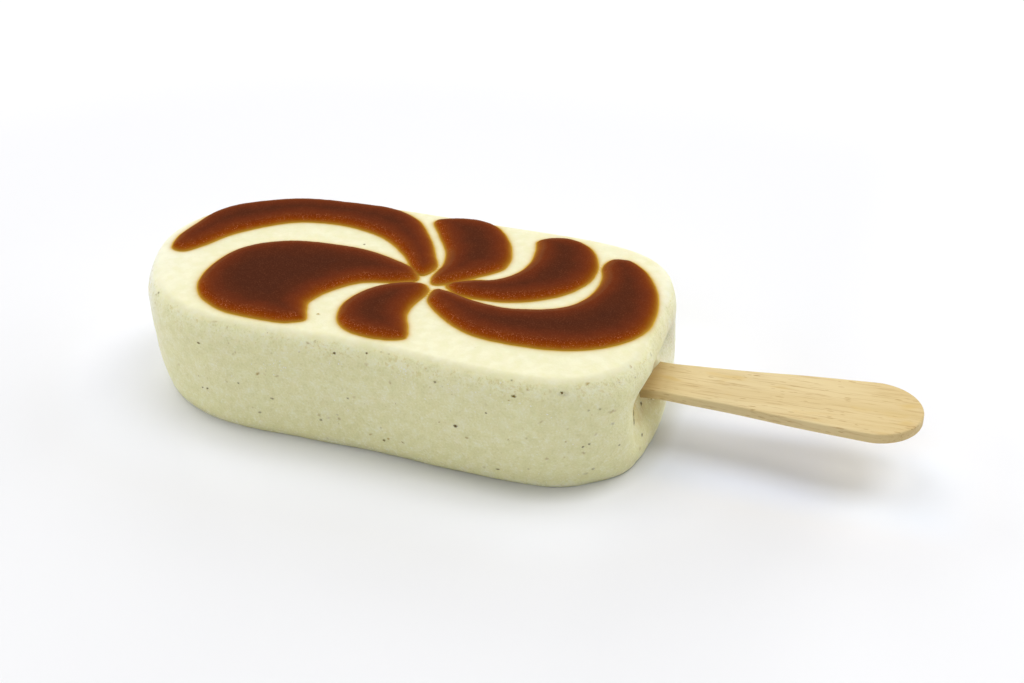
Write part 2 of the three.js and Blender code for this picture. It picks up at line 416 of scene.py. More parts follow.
@dataclass(frozen=True)
class CreamTone:
    """The cream's colours, which its own finish and the specks' soft edges share.

    Bands and boxes of places are in millimetres. A noise has its scale, its detail and its roughness,
    and each kind of spot has its tone, its strength and its spread.
    """

    top: tuple = linear(239, 235, 198)
    wall: tuple = linear(242, 238, 188)
    foot: tuple = linear(240, 236, 182)
    foot_band: tuple = (12.2, 0.488)
    wall_slope: tuple = (0.95, 0.45)
    washes: tuple = (
        # painted light: the left end of the bar lighter and whiter
        Wash(linear(243, 241, 216), along=(-60, -77)),
        # painted light: the far part of the end by the stick lighter and whiter
        Wash(linear(243, 241, 216), along=(20, 30), across=(-4, 9)),
        # painted light: the upper walls lighter towards the rim
        Wash(linear(250, 247, 204), level=(19.52, 23.424), walls_only=True, share=0.9),
        # painted highlight: the upper wall at the left end nearly white
        Wash(linear(254, 254, 248), along=(-64, -73), level=(14.64, 20.74), walls_only=True),
        # painted shade: the foot darker along the left and middle of the bar, where it meets the floor
        Wash(linear(220, 216, 167), along=(8, -15), level=(2.6, 0.6)),
        # painted light: the foot lighter on the right, against its dark contact line
        Wash(linear(255, 252, 208), along=(2, 14), level=(2.2, 0.6)),
    )
    seep_and_shade: tuple = linear(220, 201, 134)
    seep_shade_box: tuple = (("Y", -0.6, 8.3), ("Z", 11.2, 3.1))
    seep_shade_reach: tuple = (3.0, 0.3)
    seep_shade_along: tuple = (19, 23)
    seep_shade_across: tuple = (5, 0.0)
    seep_shade_patches: tuple = (0.1, 0.5)
    seep_shade_scale: float = 200.0
    crumb: tuple = linear(224, 211, 138)
    crumb_band: tuple = (18.544, 22.448)
    crumb_patch_scale: float = 170.0
    crumb_patches: float = 0.45
    crumb_noise: tuple = (1500.0, 3.0, 0.6)
    crumb_crust: tuple = (0.8, 0.92)
    crumb_strength: tuple = (0.6, 0.04)
    pale: tuple = linear(252, 251, 224)
    dull: tuple = linear(228, 225, 168)
    grain_scales: tuple = (2300.0, 520.0)
    grain_reach: float = 0.18
    grain_strength: tuple = (0.56, 0.12)
    cloud_scale: float = 520.0
    cloud_reach: float = 0.16
    cloud_strength: float = 0.22
    spots: tuple = (
        (linear(252, 251, 224), 0.5, Spots(1.3 * MM, 0.3 * MM, 0.3 * MM, 0.5)),
        (linear(150, 138, 88), 0.5, Spots(2.6 * MM, 0.26 * MM, 0.3 * MM, 0.3)),
        (linear(204, 182, 104), 0.55, Spots(3.4 * MM, 0.34 * MM, 0.3 * MM, 0.35)),
    )
    spots_on_top: float = 0.2
    relief_on_top: float = 0.15

    def by_stick(self, sketch: Sketch, where: NodeSocket, place: object) -> NodeSocket:
        """Gives where the cream beside the stick is tinted: partly the sauce's and the wood's tint seeping
        in, partly painted shade in the hollow around the stick.

        Args:
            sketch: The tree it is made in.
            where: The place.
            place: The place's X, Y and Z in millimetres.

        Returns:
            The share of the tint and the painted shade.
        """
        gaps = []
        for axis, middle, half in self.seep_shade_box:
            off = sketch.math("ABSOLUTE", sketch.math("SUBTRACT", place[axis], middle))
            gaps.append(sketch.math("MAXIMUM", sketch.math("SUBTRACT", off, half), 0.0))
        return sketch.times(
            sketch.rise(sketch.math("ADD", *gaps), *self.seep_shade_reach),
            sketch.rise(place["X"], *self.seep_shade_along),
            sketch.rise(sketch.noise(where, self.seep_shade_scale), *self.seep_shade_patches),
            sketch.rise(place["Y"], *self.seep_shade_across),
        )

    @staticmethod
    def mostly_on_walls(sketch: Sketch, side: NodeSocket, on_top: float) -> NodeSocket:
        """Gives a share that is full on the walls and is on_top on a level face."""
        return sketch.scaled(side, 1 - on_top, on_top)

    def mottle(
        self, sketch: Sketch, colour: NodeSocket, value: NodeSocket, reach: float, strength: object
    ) -> NodeSocket:
        """Makes the cream paler where a noise is high and duller where it is low.

        Args:
            sketch: The tree it is made in.
            colour: The colour below.
            value: The noise.
            reach: How far from its middle the noise has its full effect.
            strength: The share of the full effect.

        Returns:
            The new colour.
        """
        for tone, way in ((self.pale, 1), (self.dull, -1)):
            colour = sketch.paint(colour, tone, sketch.rise(value, 0.5, 0.5 + way * reach), strength)
        return colour

    def group(self, flecks: NodeTree, grain: NodeTree) -> NodeTree:
        """Makes the group for the cream's colour and relief.

        Args:
            flecks: The group for soft spots.
            grain: The group for frozen grain.

        Returns:
            The group. Relief is its height, 0 to 1, and Clumps is where its grain is coarse.
        """
        outputs = {"Colour": "Color", "Relief": "Float", "Clumps": "Float"}
        sketch, given, result = new_group("cream_tone", {"Vector": "Vector"}, outputs)
        where = given["Vector"]
        place = sketch.axes(sketch.millimetres(where))
        side = sketch.rise(sketch.facing()["Z"], *self.wall_slope)
        wall = sketch.paint(self.wall, self.foot, sketch.rise(place["Z"], *self.foot_band))
        colour = sketch.paint(self.top, wall, side)
        for wash in self.washes:
            colour = wash.lay(sketch, colour, place, side)
        # tint seeping from the sauce and the wood, and painted shade in the hollow around the stick
        colour = sketch.paint(colour, self.seep_and_shade, self.by_stick(sketch, where, place))

        patches = sketch.times(sketch.noise(where, self.crumb_patch_scale), self.crumb_patches)
        crust = sketch.math("ADD", sketch.noise(where, *self.crumb_noise), patches)
        crumbs = sketch.scaled(sketch.rise(crust, *self.crumb_crust), *self.crumb_strength)
        edge = sketch.rise(place["Z"], *self.crumb_band)
        colour = sketch.paint(colour, self.crumb, crumbs, edge, side)

        fine, coarse = self.grain_scales
        speckle = sketch.place(grain, Vector=where, Fine=fine, Coarse=coarse)
        strength = sketch.scaled(side, *self.grain_strength)
        colour = self.mottle(sketch, colour, speckle["Height"], self.grain_reach, strength)
        clouds = sketch.noise(where, self.cloud_scale)
        colour = self.mottle(sketch, colour, clouds, self.cloud_reach, self.cloud_strength)

        for tone, strength, kind in self.spots:
            shifted = sketch.vector("ADD", where, (kind.spacing, -kind.spacing, kind.spacing))
            spots = kind.place(sketch, flecks, shifted)
            shown = self.mostly_on_walls(sketch, side, self.spots_on_top)
            colour = sketch.paint(colour, tone, spots["Mask"], spots["Shade"], shown, strength)
        relief = sketch.times(speckle["Height"], self.mostly_on_walls(sketch, side, self.relief_on_top))
        for name, value in (("Colour", colour), ("Relief", relief), ("Clumps", speckle["Clumps"])):
            sketch.plug(result[name], value)
        return sketch.tree


class Groups:
    """The node groups that the finishes share."""

    def __init__(self) -> None:
        """Builds each group once."""
        self.flecks = SoftFlecks().group()
        self.grain = FrozenGrain().group()
        self.cream = CreamTone().group(self.flecks, self.grain)


# ---- Finishes ----


def new_material(name: str) -> tuple[Sketch, Material]:
    """Makes a material with an empty node tree.

    Args:
        name: The material's name.

    Returns:
        A sketch of its tree, and the material.
    """
    material = bpy.data.materials.new(name)
    material.use_nodes = True
    material.node_tree.nodes.clear()
    return Sketch(material.node_tree), material


def close_material(
    sketch: Sketch, colour: object, roughness: object, gloss: float, **others: object
) -> None:
    """Adds the Principled shader and the output.

    Args:
        sketch: The material's tree.
        colour: The base colour.
        roughness: The roughness.
        gloss: The specular level.
        **others: The shader's other values and links, named with _ for a space.
    """
    inputs = {"Base Color": colour, "Roughness": roughness, "Specular IOR Level": gloss}
    inputs.update({name.replace("_", " "): value for name, value in others.items()})
    shader = sketch.add("BsdfPrincipled", inputs)
    sketch.add("OutputMaterial", {"Surface": shader.outputs["BSDF"]})


@dataclass(frozen=True)
class CreamFinish:
    """Frozen vanilla cream: bright and smooth on top, matt and slightly grainy on its walls."""

    soak: tuple = linear(207, 161, 22)
    soak_reach: float = 0.41
    soak_strength: float = 1.25
    roughness: float = 0.6
    clump_roughness: float = 0.12
    grain_height: float = 0.24 * MM
    gloss: float = 0.2
    scatter: float = 0.3
    scatter_colour: tuple = (1.0, 0.8, 0.45)
    scatter_depth: float = 1.6 * MM

    def material(self, groups: Groups) -> Material:
        """Makes the cream.

        Args:
            groups: The shared node groups.

        Returns:
            The material.
        """
        sketch, material = new_material("frozen_vanilla_cream")
        cream = sketch.place(groups.cream, Vector=sketch.here())
        away = sketch.math("MAXIMUM", sketch.reading(STAIN), 0.0)
        soak = sketch.math("EXPONENT", sketch.times(away, -1.0 / self.soak_reach))
        close_material(
            sketch,
            sketch.paint(cream["Colour"], self.soak, soak, self.soak_strength),
            sketch.scaled(cream["Clumps"], self.clump_roughness, self.roughness),
            self.gloss,
            Normal=sketch.relief(cream["Relief"], self.grain_height),
            Subsurface_Weight=self.scatter,
            Subsurface_Radius=self.scatter_colour,
            Subsurface_Scale=self.scatter_depth,
        )
        return material


@dataclass(frozen=True)
class SauceFinish:
    """Frozen caramel sauce: amber at its thin edge, dark brown where it is deep, finely frosted.

    The stops give the colour by the distance in from the edge, in millimetres, as do the bands of the
    slope, the painted glow and the painted reflection. The painted glow makes thin slopes that face the
    near side more amber; the painted reflection and the painted sheen make slopes that face away paler, and
    the painted glints fleck the slopes that face the near side. Each other pair is a factor and what is
    added to it.
    """

    stops: tuple = (
        (0.0, linear(194, 150, 56)),
        (0.2, linear(173, 119, 38)),
        (0.45, linear(154, 95, 24)),
        (0.8, linear(139, 74, 17)),
        (1.15, linear(129, 63, 18)),
        (1.6, linear(118, 54, 21)),
        (2.4, linear(107, 48, 23)),
        (3.5, linear(96, 44, 24)),
        (5.0, linear(84, 41, 24)),
        (8.0, linear(76, 39, 25)),
    )
    cloud: tuple = (240.0, 3.0, 0.6)
    waver: float = 0.7
    root: tuple = (-17.2 * MM, -1.6 * MM, 25.2 * MM)
    root_band: tuple = (1 * MM, 9 * MM)
    root_depth: tuple = (0.35, 0.65)
    slope_inward: tuple = (0.1, 0.5)
    slope_facing: tuple = (-0.02, -0.32)
    near_slope_glow: tuple = (1.0, 0.7, 0.38, 1.0)
    glow_inward: tuple = (2.3, 0.8)
    far_slope_reflection: tuple = linear(130, 109, 78)
    reflection_turn: float = -0.8
    reflection_facing: tuple = (0.04, 0.2)
    reflection_inward: tuple = (4.4, 2.2)
    reflection_share: float = 0.13
    grain_scales: tuple = (3200.0, 700.0)
    frost_and_glint: tuple = linear(208, 130, 90)
    grit: tuple = (0.46, 0.74)
    grit_share: float = 0.085
    frost_glints: Spots = Spots(0.21 * MM, 0.08 * MM, 0.05 * MM, 0.85)
    glint_slope: tuple = (0.95, 0.05)
    glint_clumps: tuple = (0.55, 0.45)
    glint_strengths: tuple = (0.7, 0.3)
    painted_sheen_facing: tuple = (0.03, 0.3)
    painted_sheen_share: float = 0.004
    grain_height: float = 0.04 * MM
    roughness: tuple = (0.12, 0.5)

    def depth_tone(self, sketch: Sketch, where: NodeSocket, inward: NodeSocket) -> NodeSocket:
        """Gives the sauce's own colour, by how deep it is.

        Args:
            sketch: The tree it is made in.
            where: The place.
            inward: The distance in from the edge, in millimetres.

        Returns:
            The colour.
        """
        reach = self.stops[-1][0]
        cloud = sketch.noise(where, *self.cloud)
        waver = sketch.scaled(sketch.math("SUBTRACT", cloud, 0.5), self.waver, 1.0)
        from_root = sketch.length(sketch.vector("SUBTRACT", where, self.root))
        thin = sketch.scaled(sketch.rise(from_root, *self.root_band), *self.root_depth)
        depth = sketch.math("DIVIDE", sketch.times(inward, waver, thin), reach)
        return sketch.ramp(depth, [(place / reach, tone) for place, tone in self.stops])

    def material(self, groups: Groups) -> Material:
        """Makes the sauce.

        Args:
            groups: The shared node groups.

        Returns:
            The material.
        """
        sketch, material = new_material("frozen_caramel_sauce")
        where, inward, facing = sketch.here(), sketch.reading(INWARD), sketch.facing()
        colour = self.depth_tone(sketch, where, inward)
        slope = sketch.times(
            sketch.rise(inward, *self.slope_inward), sketch.rise(facing["Y"], *self.slope_facing)
        )
        shallow = sketch.rise(inward, *self.glow_inward)
        # painted glow: thin slopes that face the near side painted more amber
        colour = sketch.paint(colour, self.near_slope_glow, slope, shallow, blend="MULTIPLY")
        # painted reflection: slopes that face away painted paler near the sauce's edge
        back = sketch.rise(sketch.scaled(facing["X"], self.reflection_turn, facing["Y"]), *self.reflection_facing)
        by_edge = sketch.rise(inward, *self.reflection_inward)
        colour = sketch.paint(colour, self.far_slope_reflection, back, by_edge, self.reflection_share)

        fine, coarse = self.grain_scales
        grain = sketch.place(groups.grain, Vector=where, Fine=fine, Coarse=coarse)
        colour = sketch.paint(colour, self.frost_and_glint, sketch.rise(grain["Height"], *self.grit), self.grit_share)
        # frost grains painted lighter on slopes that face the near side: partly frost, partly painted
        # glints
        frost_glints = self.frost_glints.place(sketch, groups.flecks, where)
        colour = sketch.paint(
            colour,
            self.frost_and_glint,
            frost_glints["Mask"],
            sketch.scaled(slope, *self.glint_slope),
            sketch.scaled(grain["Clumps"], *self.glint_clumps),
            sketch.scaled(frost_glints["Shade"], *self.glint_strengths),
        )
        # painted sheen: slopes that face away a touch paler
        painted_sheen = sketch.rise(facing["Y"], *self.painted_sheen_facing)
        colour = sketch.paint(colour, WHITE, painted_sheen, self.painted_sheen_share)
        close_material(
            sketch,
            colour,
            sketch.scaled(grain["Clumps"], *self.roughness),
            0.0,
            Normal=sketch.relief(grain["Height"], self.grain_height),
        )
        return material


@dataclass(frozen=True)
class Streaks:
    """One layer of the wood's figure: a noise drawn out along the stick, and the tone it gives."""

    tone: tuple
    along: float
    across: float
    detail: float
    rough: float
    band: tuple
    share: float


@dataclass(frozen=True)
class WoodFinish:
    """Pale beech: fine streaks along the stick, short darker flecks, warm where it meets the cream.

    The entry is where along X the stick leaves the cream. The damp and the shade have their tone, how far
    they reach from there, and their share; the shade is a painted shadow under the cream's lip. These
    lengths are in millimetres.
    """

    entry: float = 27.3
    pale: tuple = linear(228, 207, 157)
    broad: Streaks = Streaks(linear(217, 192, 138), 14.0, 420.0, 3.0, 0.55, (0.35, 0.7), 0.75)
    fine: Streaks = Streaks(linear(184, 146, 92), 60.0, 2600.0, 3.0, 0.6, (0.5, 0.75), 0.62)
    blotch: Streaks = Streaks(linear(219, 186, 110), 90.0, 230.0, 2.0, 0.5, (0.6, 0.74), 0.6)
    ray: tuple = linear(184, 146, 92)
    rays: Spots = Spots(0.42 * MM, 0.12 * MM, 0.08 * MM, 0.5)
    ray_stretch: tuple = (0.18, 1.0, 1.0)
    ray_shade: tuple = (0.8, 0.15)
    damp: tuple = (linear(204, 176, 120), 7.0, 0.5)
    shade: tuple = (linear(152, 120, 66), 2.8, 0.52)
    tip: tuple = linear(204, 172, 106)
    tip_band: tuple = (56, 76)
    tip_share: float = 0.3
    relief_shares: tuple = (0.7, 0.3)
    relief_height: float = 0.05 * MM
    roughness: tuple = (0.15, 0.55)
    gloss: float = 0.25

    def material(self, groups: Groups) -> Material:
        """Makes the wood.

        Args:
            groups: The shared node groups.

        Returns:
            The material.
        """
        sketch, material = new_material("pale_beech")
        where = sketch.here()
        along = sketch.axes(sketch.millimetres(where))["X"]
        colour, figures = self.pale, []
        for kind in (self.broad, self.fine, self.blotch):
            drawn = sketch.vector("MULTIPLY", where, (kind.along, kind.across, kind.across))
            figures.append(sketch.noise(drawn, 1.0, kind.detail, kind.rough))
            colour = sketch.paint(colour, kind.tone, sketch.rise(figures[-1], *kind.band), kind.share)
        stretched = sketch.vector("MULTIPLY", where, self.ray_stretch)
        rays = self.rays.place(sketch, groups.flecks, stretched)
        colour = sketch.paint(colour, self.ray, rays["Mask"], sketch.scaled(rays["Shade"], *self.ray_shade))
        # damp wood near the cream, then a painted shadow under the cream's lip
        for tone, reach, share in (self.damp, self.shade):
            colour = sketch.paint(colour, tone, sketch.rise(along, self.entry + reach, self.entry), share)
        colour = sketch.paint(colour, self.tip, sketch.rise(along, *self.tip_band), self.tip_share)
        broad, fine, _ = figures
        fine_share, broad_share = self.relief_shares
        relief = sketch.scaled(fine, fine_share, sketch.times(broad, broad_share))
        roughness = sketch.scaled(fine, *self.roughness)
        close_material(
            sketch, colour, roughness, self.gloss, Normal=sketch.relief(relief, self.relief_height)
        )
        return material


@dataclass(frozen=True)
class SpeckFinish:
    """Specks under a thin skin of cream: their own tone in the middle, and the cream's at the edge."""

    name: str
    tone: tuple
    other_tone: tuple
    ragged_noise: tuple = (3800.0, 2.0, 0.6)
    ragged: tuple = (1.1, 0.45)
    tone_scale: float = 300.0
    tone_band: tuple = (0.35, 0.65)
    core_band: tuple = (0.04, 1.0)
    roughness: float = 0.6
    gloss: float = 0.05
    relief_height: float = 0.1 * MM

    def material(self, groups: Groups) -> Material:
        """Makes the specks' material.

        Args:
            groups: The shared node groups.

        Returns:
            The material.
        """
        sketch, material = new_material(self.name)
        where = sketch.here()
        cream = sketch.place(groups.cream, Vector=where)
        ragged = sketch.scaled(sketch.noise(where, *self.ragged_noise), *self.ragged)
        share = sketch.rise(sketch.times(sketch.reading(CORE), ragged), *self.core_band)
        patches = sketch.rise(sketch.noise(where, self.tone_scale), *self.tone_band)
        tone = sketch.paint(self.tone, self.other_tone, patches)
        colour = sketch.paint(cream["Colour"], tone, share)
        relief = sketch.relief(cream["Relief"], self.relief_height)
        close_material(sketch, colour, self.roughness, self.gloss, Normal=relief)
        return material


@dataclass(frozen=True)
class CrystalFinish:
    """Small crystals of white ice."""

    tone: tuple = linear(252, 251, 234)
    scale: float = 420.0
    band: tuple = (0.25, 0.5)
    roughness: float = 0.45
    gloss: float = 0.3
    relief_height: float = 0.05 * MM

    def material(self, groups: Groups) -> Material:
        """Makes the crystals' material.

        Args:
            groups: The shared node groups.

        Returns:
            The material.
        """
        sketch, material = new_material("white_ice_crystal")
        where = sketch.here()
        cream = sketch.place(groups.cream, Vector=where)
        share = sketch.rise(sketch.noise(where, self.scale), *self.band)
        colour = sketch.paint(cream["Colour"], self.tone, share)
        relief = sketch.relief(cream["Relief"], self.relief_height)
        close_material(sketch, colour, self.roughness, self.gloss, Normal=relief)
        return material


# ---- Meshes ----


def add_values(piece: Object, name: str, values: np.ndarray) -> None:
    """Gives each point of a piece a value that its material reads.

    Args:
        piece: The piece.
        name: The values' name.
        values: One value a point.
    """
    layer = piece.data.attributes.new(name, "FLOAT", "POINT")
    layer.data.foreach_set("value", np.asarray(values, np.float32))


def link(name: str, data: ID) -> Object:
    """Puts a mesh, a light or a camera into the scene.

    Args:
        name: The object's name.
        data: What it shows.

    Returns:
        The object.
    """
    thing = bpy.data.objects.new(name, data)
    bpy.context.scene.collection.objects.link(thing)
    return thing


def new_piece(
    name: str, points: np.ndarray, faces: Faces, material: Material
) -> Object:
    """Makes a smooth piece that rides on the body.

    Args:
        name: The piece's name.
        points: Its points, one a row.
        faces: Its faces, as numbers of points.
        material: Its material.

    Returns:
        The object.
    """
    mesh = bpy.data.meshes.new(name)
    mesh.from_pydata(np.clip(points, *BOX).tolist(), [], faces)
    mesh.polygons.foreach_set("use_smooth", [True] * len(mesh.polygons))
    mesh.materials.append(material)
    mesh.update()
    piece = link(name, mesh)
    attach(piece, BODY)
    return piece


def node_mesh(node: str) -> tuple[np.ndarray, Faces]:
    """Reads a frame node's points and faces, with points in the same place joined.

    Args:
        node: The node's name.

    Returns:
        The points and the faces.
    """
    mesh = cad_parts[node].data
    points = np.array([v.co for v in mesh.vertices], float)
    keys = {}
    joined = [keys.setdefault(tuple(p), len(keys)) for p in np.round(points / SAME_PLACE).astype(int)]
    merged = np.zeros((len(keys), 3))
    merged[joined] = points
    faces = [tuple(joined[i] for i in face.vertices) for face in mesh.polygons]
    return merged, faces


def part_way(values: np.ndarray, start: float, end: float) -> np.ndarray:
    """Gives how far values have come from start, where it is 0, to end, where it is 1."""
    return np.clip((values - start) / (end - start), 0, 1)


def closed_curve(points: np.ndarray, spacing: float) -> np.ndarray:
    """Draws a smooth closed curve through points.

    Args:
        points: The corners of the curve, one a row, in any number of dimensions.
        spacing: The distance between the new points.

    Returns:
        Evenly spaced points on the curve.
    """
    before, after, beyond = np.roll(points, 1, 0), np.roll(points, -1, 0), np.roll(points, -2, 0)
    shares = np.linspace(0, 1, CURVE_STEPS, endpoint=False)[None, :, None]
    p0, p1, p2, p3 = (p[:, None, :] for p in (before, points, after, beyond))
    pull = 2 * p0 - 5 * p1 + 4 * p2 - p3
    turn = 3 * (p1 - p2) + p3 - p0
    fine = (p1 + 0.5 * shares * (p2 - p0 + shares * (pull + shares * turn))).reshape(-1, points.shape[1])
    closed = np.vstack([fine, fine[:1]])
    travelled = np.concatenate([[0], np.cumsum(np.linalg.norm(np.diff(closed, axis=0), axis=1))])
    steps = np.linspace(0, travelled[-1], max(8, round(travelled[-1] / spacing)), endpoint=False)
    return np.stack([np.interp(steps, travelled, closed[:, k]) for k in range(points.shape[1])], 1)


def level_inward(loops: np.ndarray) -> np.ndarray:
    """Gives the level way in from each point of anticlockwise closed loops.

    Args:
        loops: The points of one loop or of a stack of them, with two or three axes.

    Returns:
        A direction of length 1 for each point.
    """
    ahead = np.roll(loops, -1, -2) - np.roll(loops, 1, -2)
    inward = np.zeros_like(ahead)
    inward[..., 0], inward[..., 1] = -ahead[..., 1], ahead[..., 0]
    return inward / np.linalg.norm(inward, axis=-1, keepdims=True)


def distance_to_loop(places: np.ndarray, loop: np.ndarray) -> np.ndarray:
    """Measures how far places are from a closed loop.

    Args:
        places: Places in plan, one a row.
        loop: The loop's points.

    Returns:
        One distance a place.
    """
    along = np.roll(loop, -1, 0) - loop
    nearest = np.full(len(places), np.inf)
    for start, step in zip(loop, along):
        share = np.clip((places - start) @ step / max(step @ step, TINY), 0, 1)
        nearest = np.minimum(nearest, np.linalg.norm(places - start - share[:, None] * step, axis=1))
    return nearest


def inside_loop(places: np.ndarray, loop: np.ndarray) -> np.ndarray:
    """Tells which places lie inside a closed loop.

    Args:
        places: Places in plan, one a row.
        loop: The loop's points.

    Returns:
        True or False for each place.
    """
    inside = np.zeros(len(places), bool)
    for (x1, y1), (x2, y2) in zip(loop, np.roll(loop, -1, 0)):
        if y1 != y2:
            crosses = (y1 > places[:, 1]) != (y2 > places[:, 1])
            inside ^= crosses & (places[:, 0] < x1 + (places[:, 1] - y1) * (x2 - x1) / (y2 - y1))
    return inside


def triangles_in(places: np.ndarray, count: int) -> Faces:
    """Joins places in plan with triangles inside the loop that the first ones make.

    Args:
        places: Places in plan, one a row.
        count: How many of them make the loop.

    Returns:
        Anticlockwise triangles, as numbers of places.
    """
    ring = [list(range(count))]
    corners = [Vector(place) for place in places]
    _, _, faces, origins, _, _ = delaunay_2d_cdt(corners, [], ring, ONLY_INSIDE, JOINED_WITHIN)
    order = {new: old[0] for new, old in enumerate(origins) if old}
    return [tuple(order[i] for i in face) for face in faces]


def fill_loop(
    loop: np.ndarray, spacing: float, edge_steps: tuple[float, ...] = ()
) -> tuple[np.ndarray, Faces]:
    """Fills a closed anticlockwise loop in plan with even triangles.

    Args:
        loop: The loop's points. They come first in the result.
        spacing: The distance between the points inside.
        edge_steps: Distances from the loop at which it is followed once more.

    Returns:
        The points in plan, and the triangles.
    """
    low, high = loop.min(0), loop.max(0)
    rows = enumerate(np.arange(low[1], high[1], spacing * TRIANGLE_HEIGHT))
    grid = np.array([
        (x, y) for i, y in rows for x in np.arange(low[0] + (i % 2) * spacing / 2, high[0], spacing)
    ])
    grid = grid[inside_loop(grid, loop)]
    room = (edge_steps[-1] if edge_steps else 0) + GRID_ROOM * spacing
    grid = grid[distance_to_loop(grid, loop) > room]
    inward = level_inward(loop)
    followed = []
    for step in edge_steps:
        row = loop + inward * step
        clear = (distance_to_loop(row, loop) > UNFOLDED * step) & inside_loop(row, loop)
        followed.append(row[clear])
    places = np.vstack([loop, *followed, grid])
    return places, triangles_in(places, len(loop))


def renumbered(faces: Faces, first: int) -> Faces:
    """Numbers the points of faces from a new first point."""
    return [tuple(first + i for i in face) for face in faces]


def loop_round(faces: Faces) -> list[int]:
    """Follows the boundary of some joined faces.

    Args:
        faces: The faces, as numbers of points.

    Returns:
        The boundary's points in order.
    """
    sides = {(a, b) for face in faces for a, b in zip(face, face[1:] + face[:1])}
    following = {a: b for a, b in sides if (b, a) not in sides}
    loop = [next(iter(following))]
    while following[loop[-1]] != loop[0]:
        loop.append(following[loop[-1]])
    return loop


def ring_faces(rows: int, columns: int) -> Faces:
    """Joins a stack of closed rings with faces that look outwards.

    Args:
        rows: How many rings there are, from the bottom up.
        columns: How many points each has, numbered ring by ring.

    Returns:
        The faces.
    """
    faces = []
    for row in range(rows - 1):
        for column in range(columns):
            a = row * columns + column
            b = row * columns + (column + 1) % columns
            faces.append((a, b, b + columns, a + columns))
    return faces


def closed_stack(
    rings: np.ndarray, top_spacing: float, under_spacing: float
) -> tuple[np.ndarray, Faces]:
    """Joins a stack of closed level rings, and fills its two ends.

    Args:
        rings: Points by row, column and axis, from the bottom up.
        top_spacing: The distance between the points that fill the top.
        under_spacing: The same for the underside.

    Returns:
        The points and the faces.
    """
    rows, columns, _ = rings.shape
    points, faces = rings.reshape(-1, 3), ring_faces(rows, columns)
    for row, spacing, turn in ((rows - 1, top_spacing, 1), (0, under_spacing, -1)):
        start, ring = row * columns, rings[row]
        places, triangles = fill_loop(ring[:, :2], spacing)
        inner = places[columns:]
        first = len(points) - columns
        points = np.vstack([points, np.column_stack([inner, np.full(len(inner), ring[0, 2])])])
        for triangle in triangles:
            faces.append(tuple(start + i if i < columns else first + i for i in triangle)[::turn])
    return points, faces


def smooth_rings(rings: np.ndarray, passes: int) -> np.ndarray:
    """Evens out a stack of closed rings.

    Args:
        rings: Points by row, column and axis.
        passes: How many times each point moves towards its neighbours.

    Returns:
        The evened stack, with its first and last rings evened along themselves only.
    """
    for _ in range(passes):
        rings = 0.5 * rings + 0.25 * (np.roll(rings, 1, 1) + np.roll(rings, -1, 1))
        rings[1:-1] = 0.5 * rings[1:-1] + 0.25 * (rings[:-2] + rings[2:])
    return rings


# ---- Ice cream ----


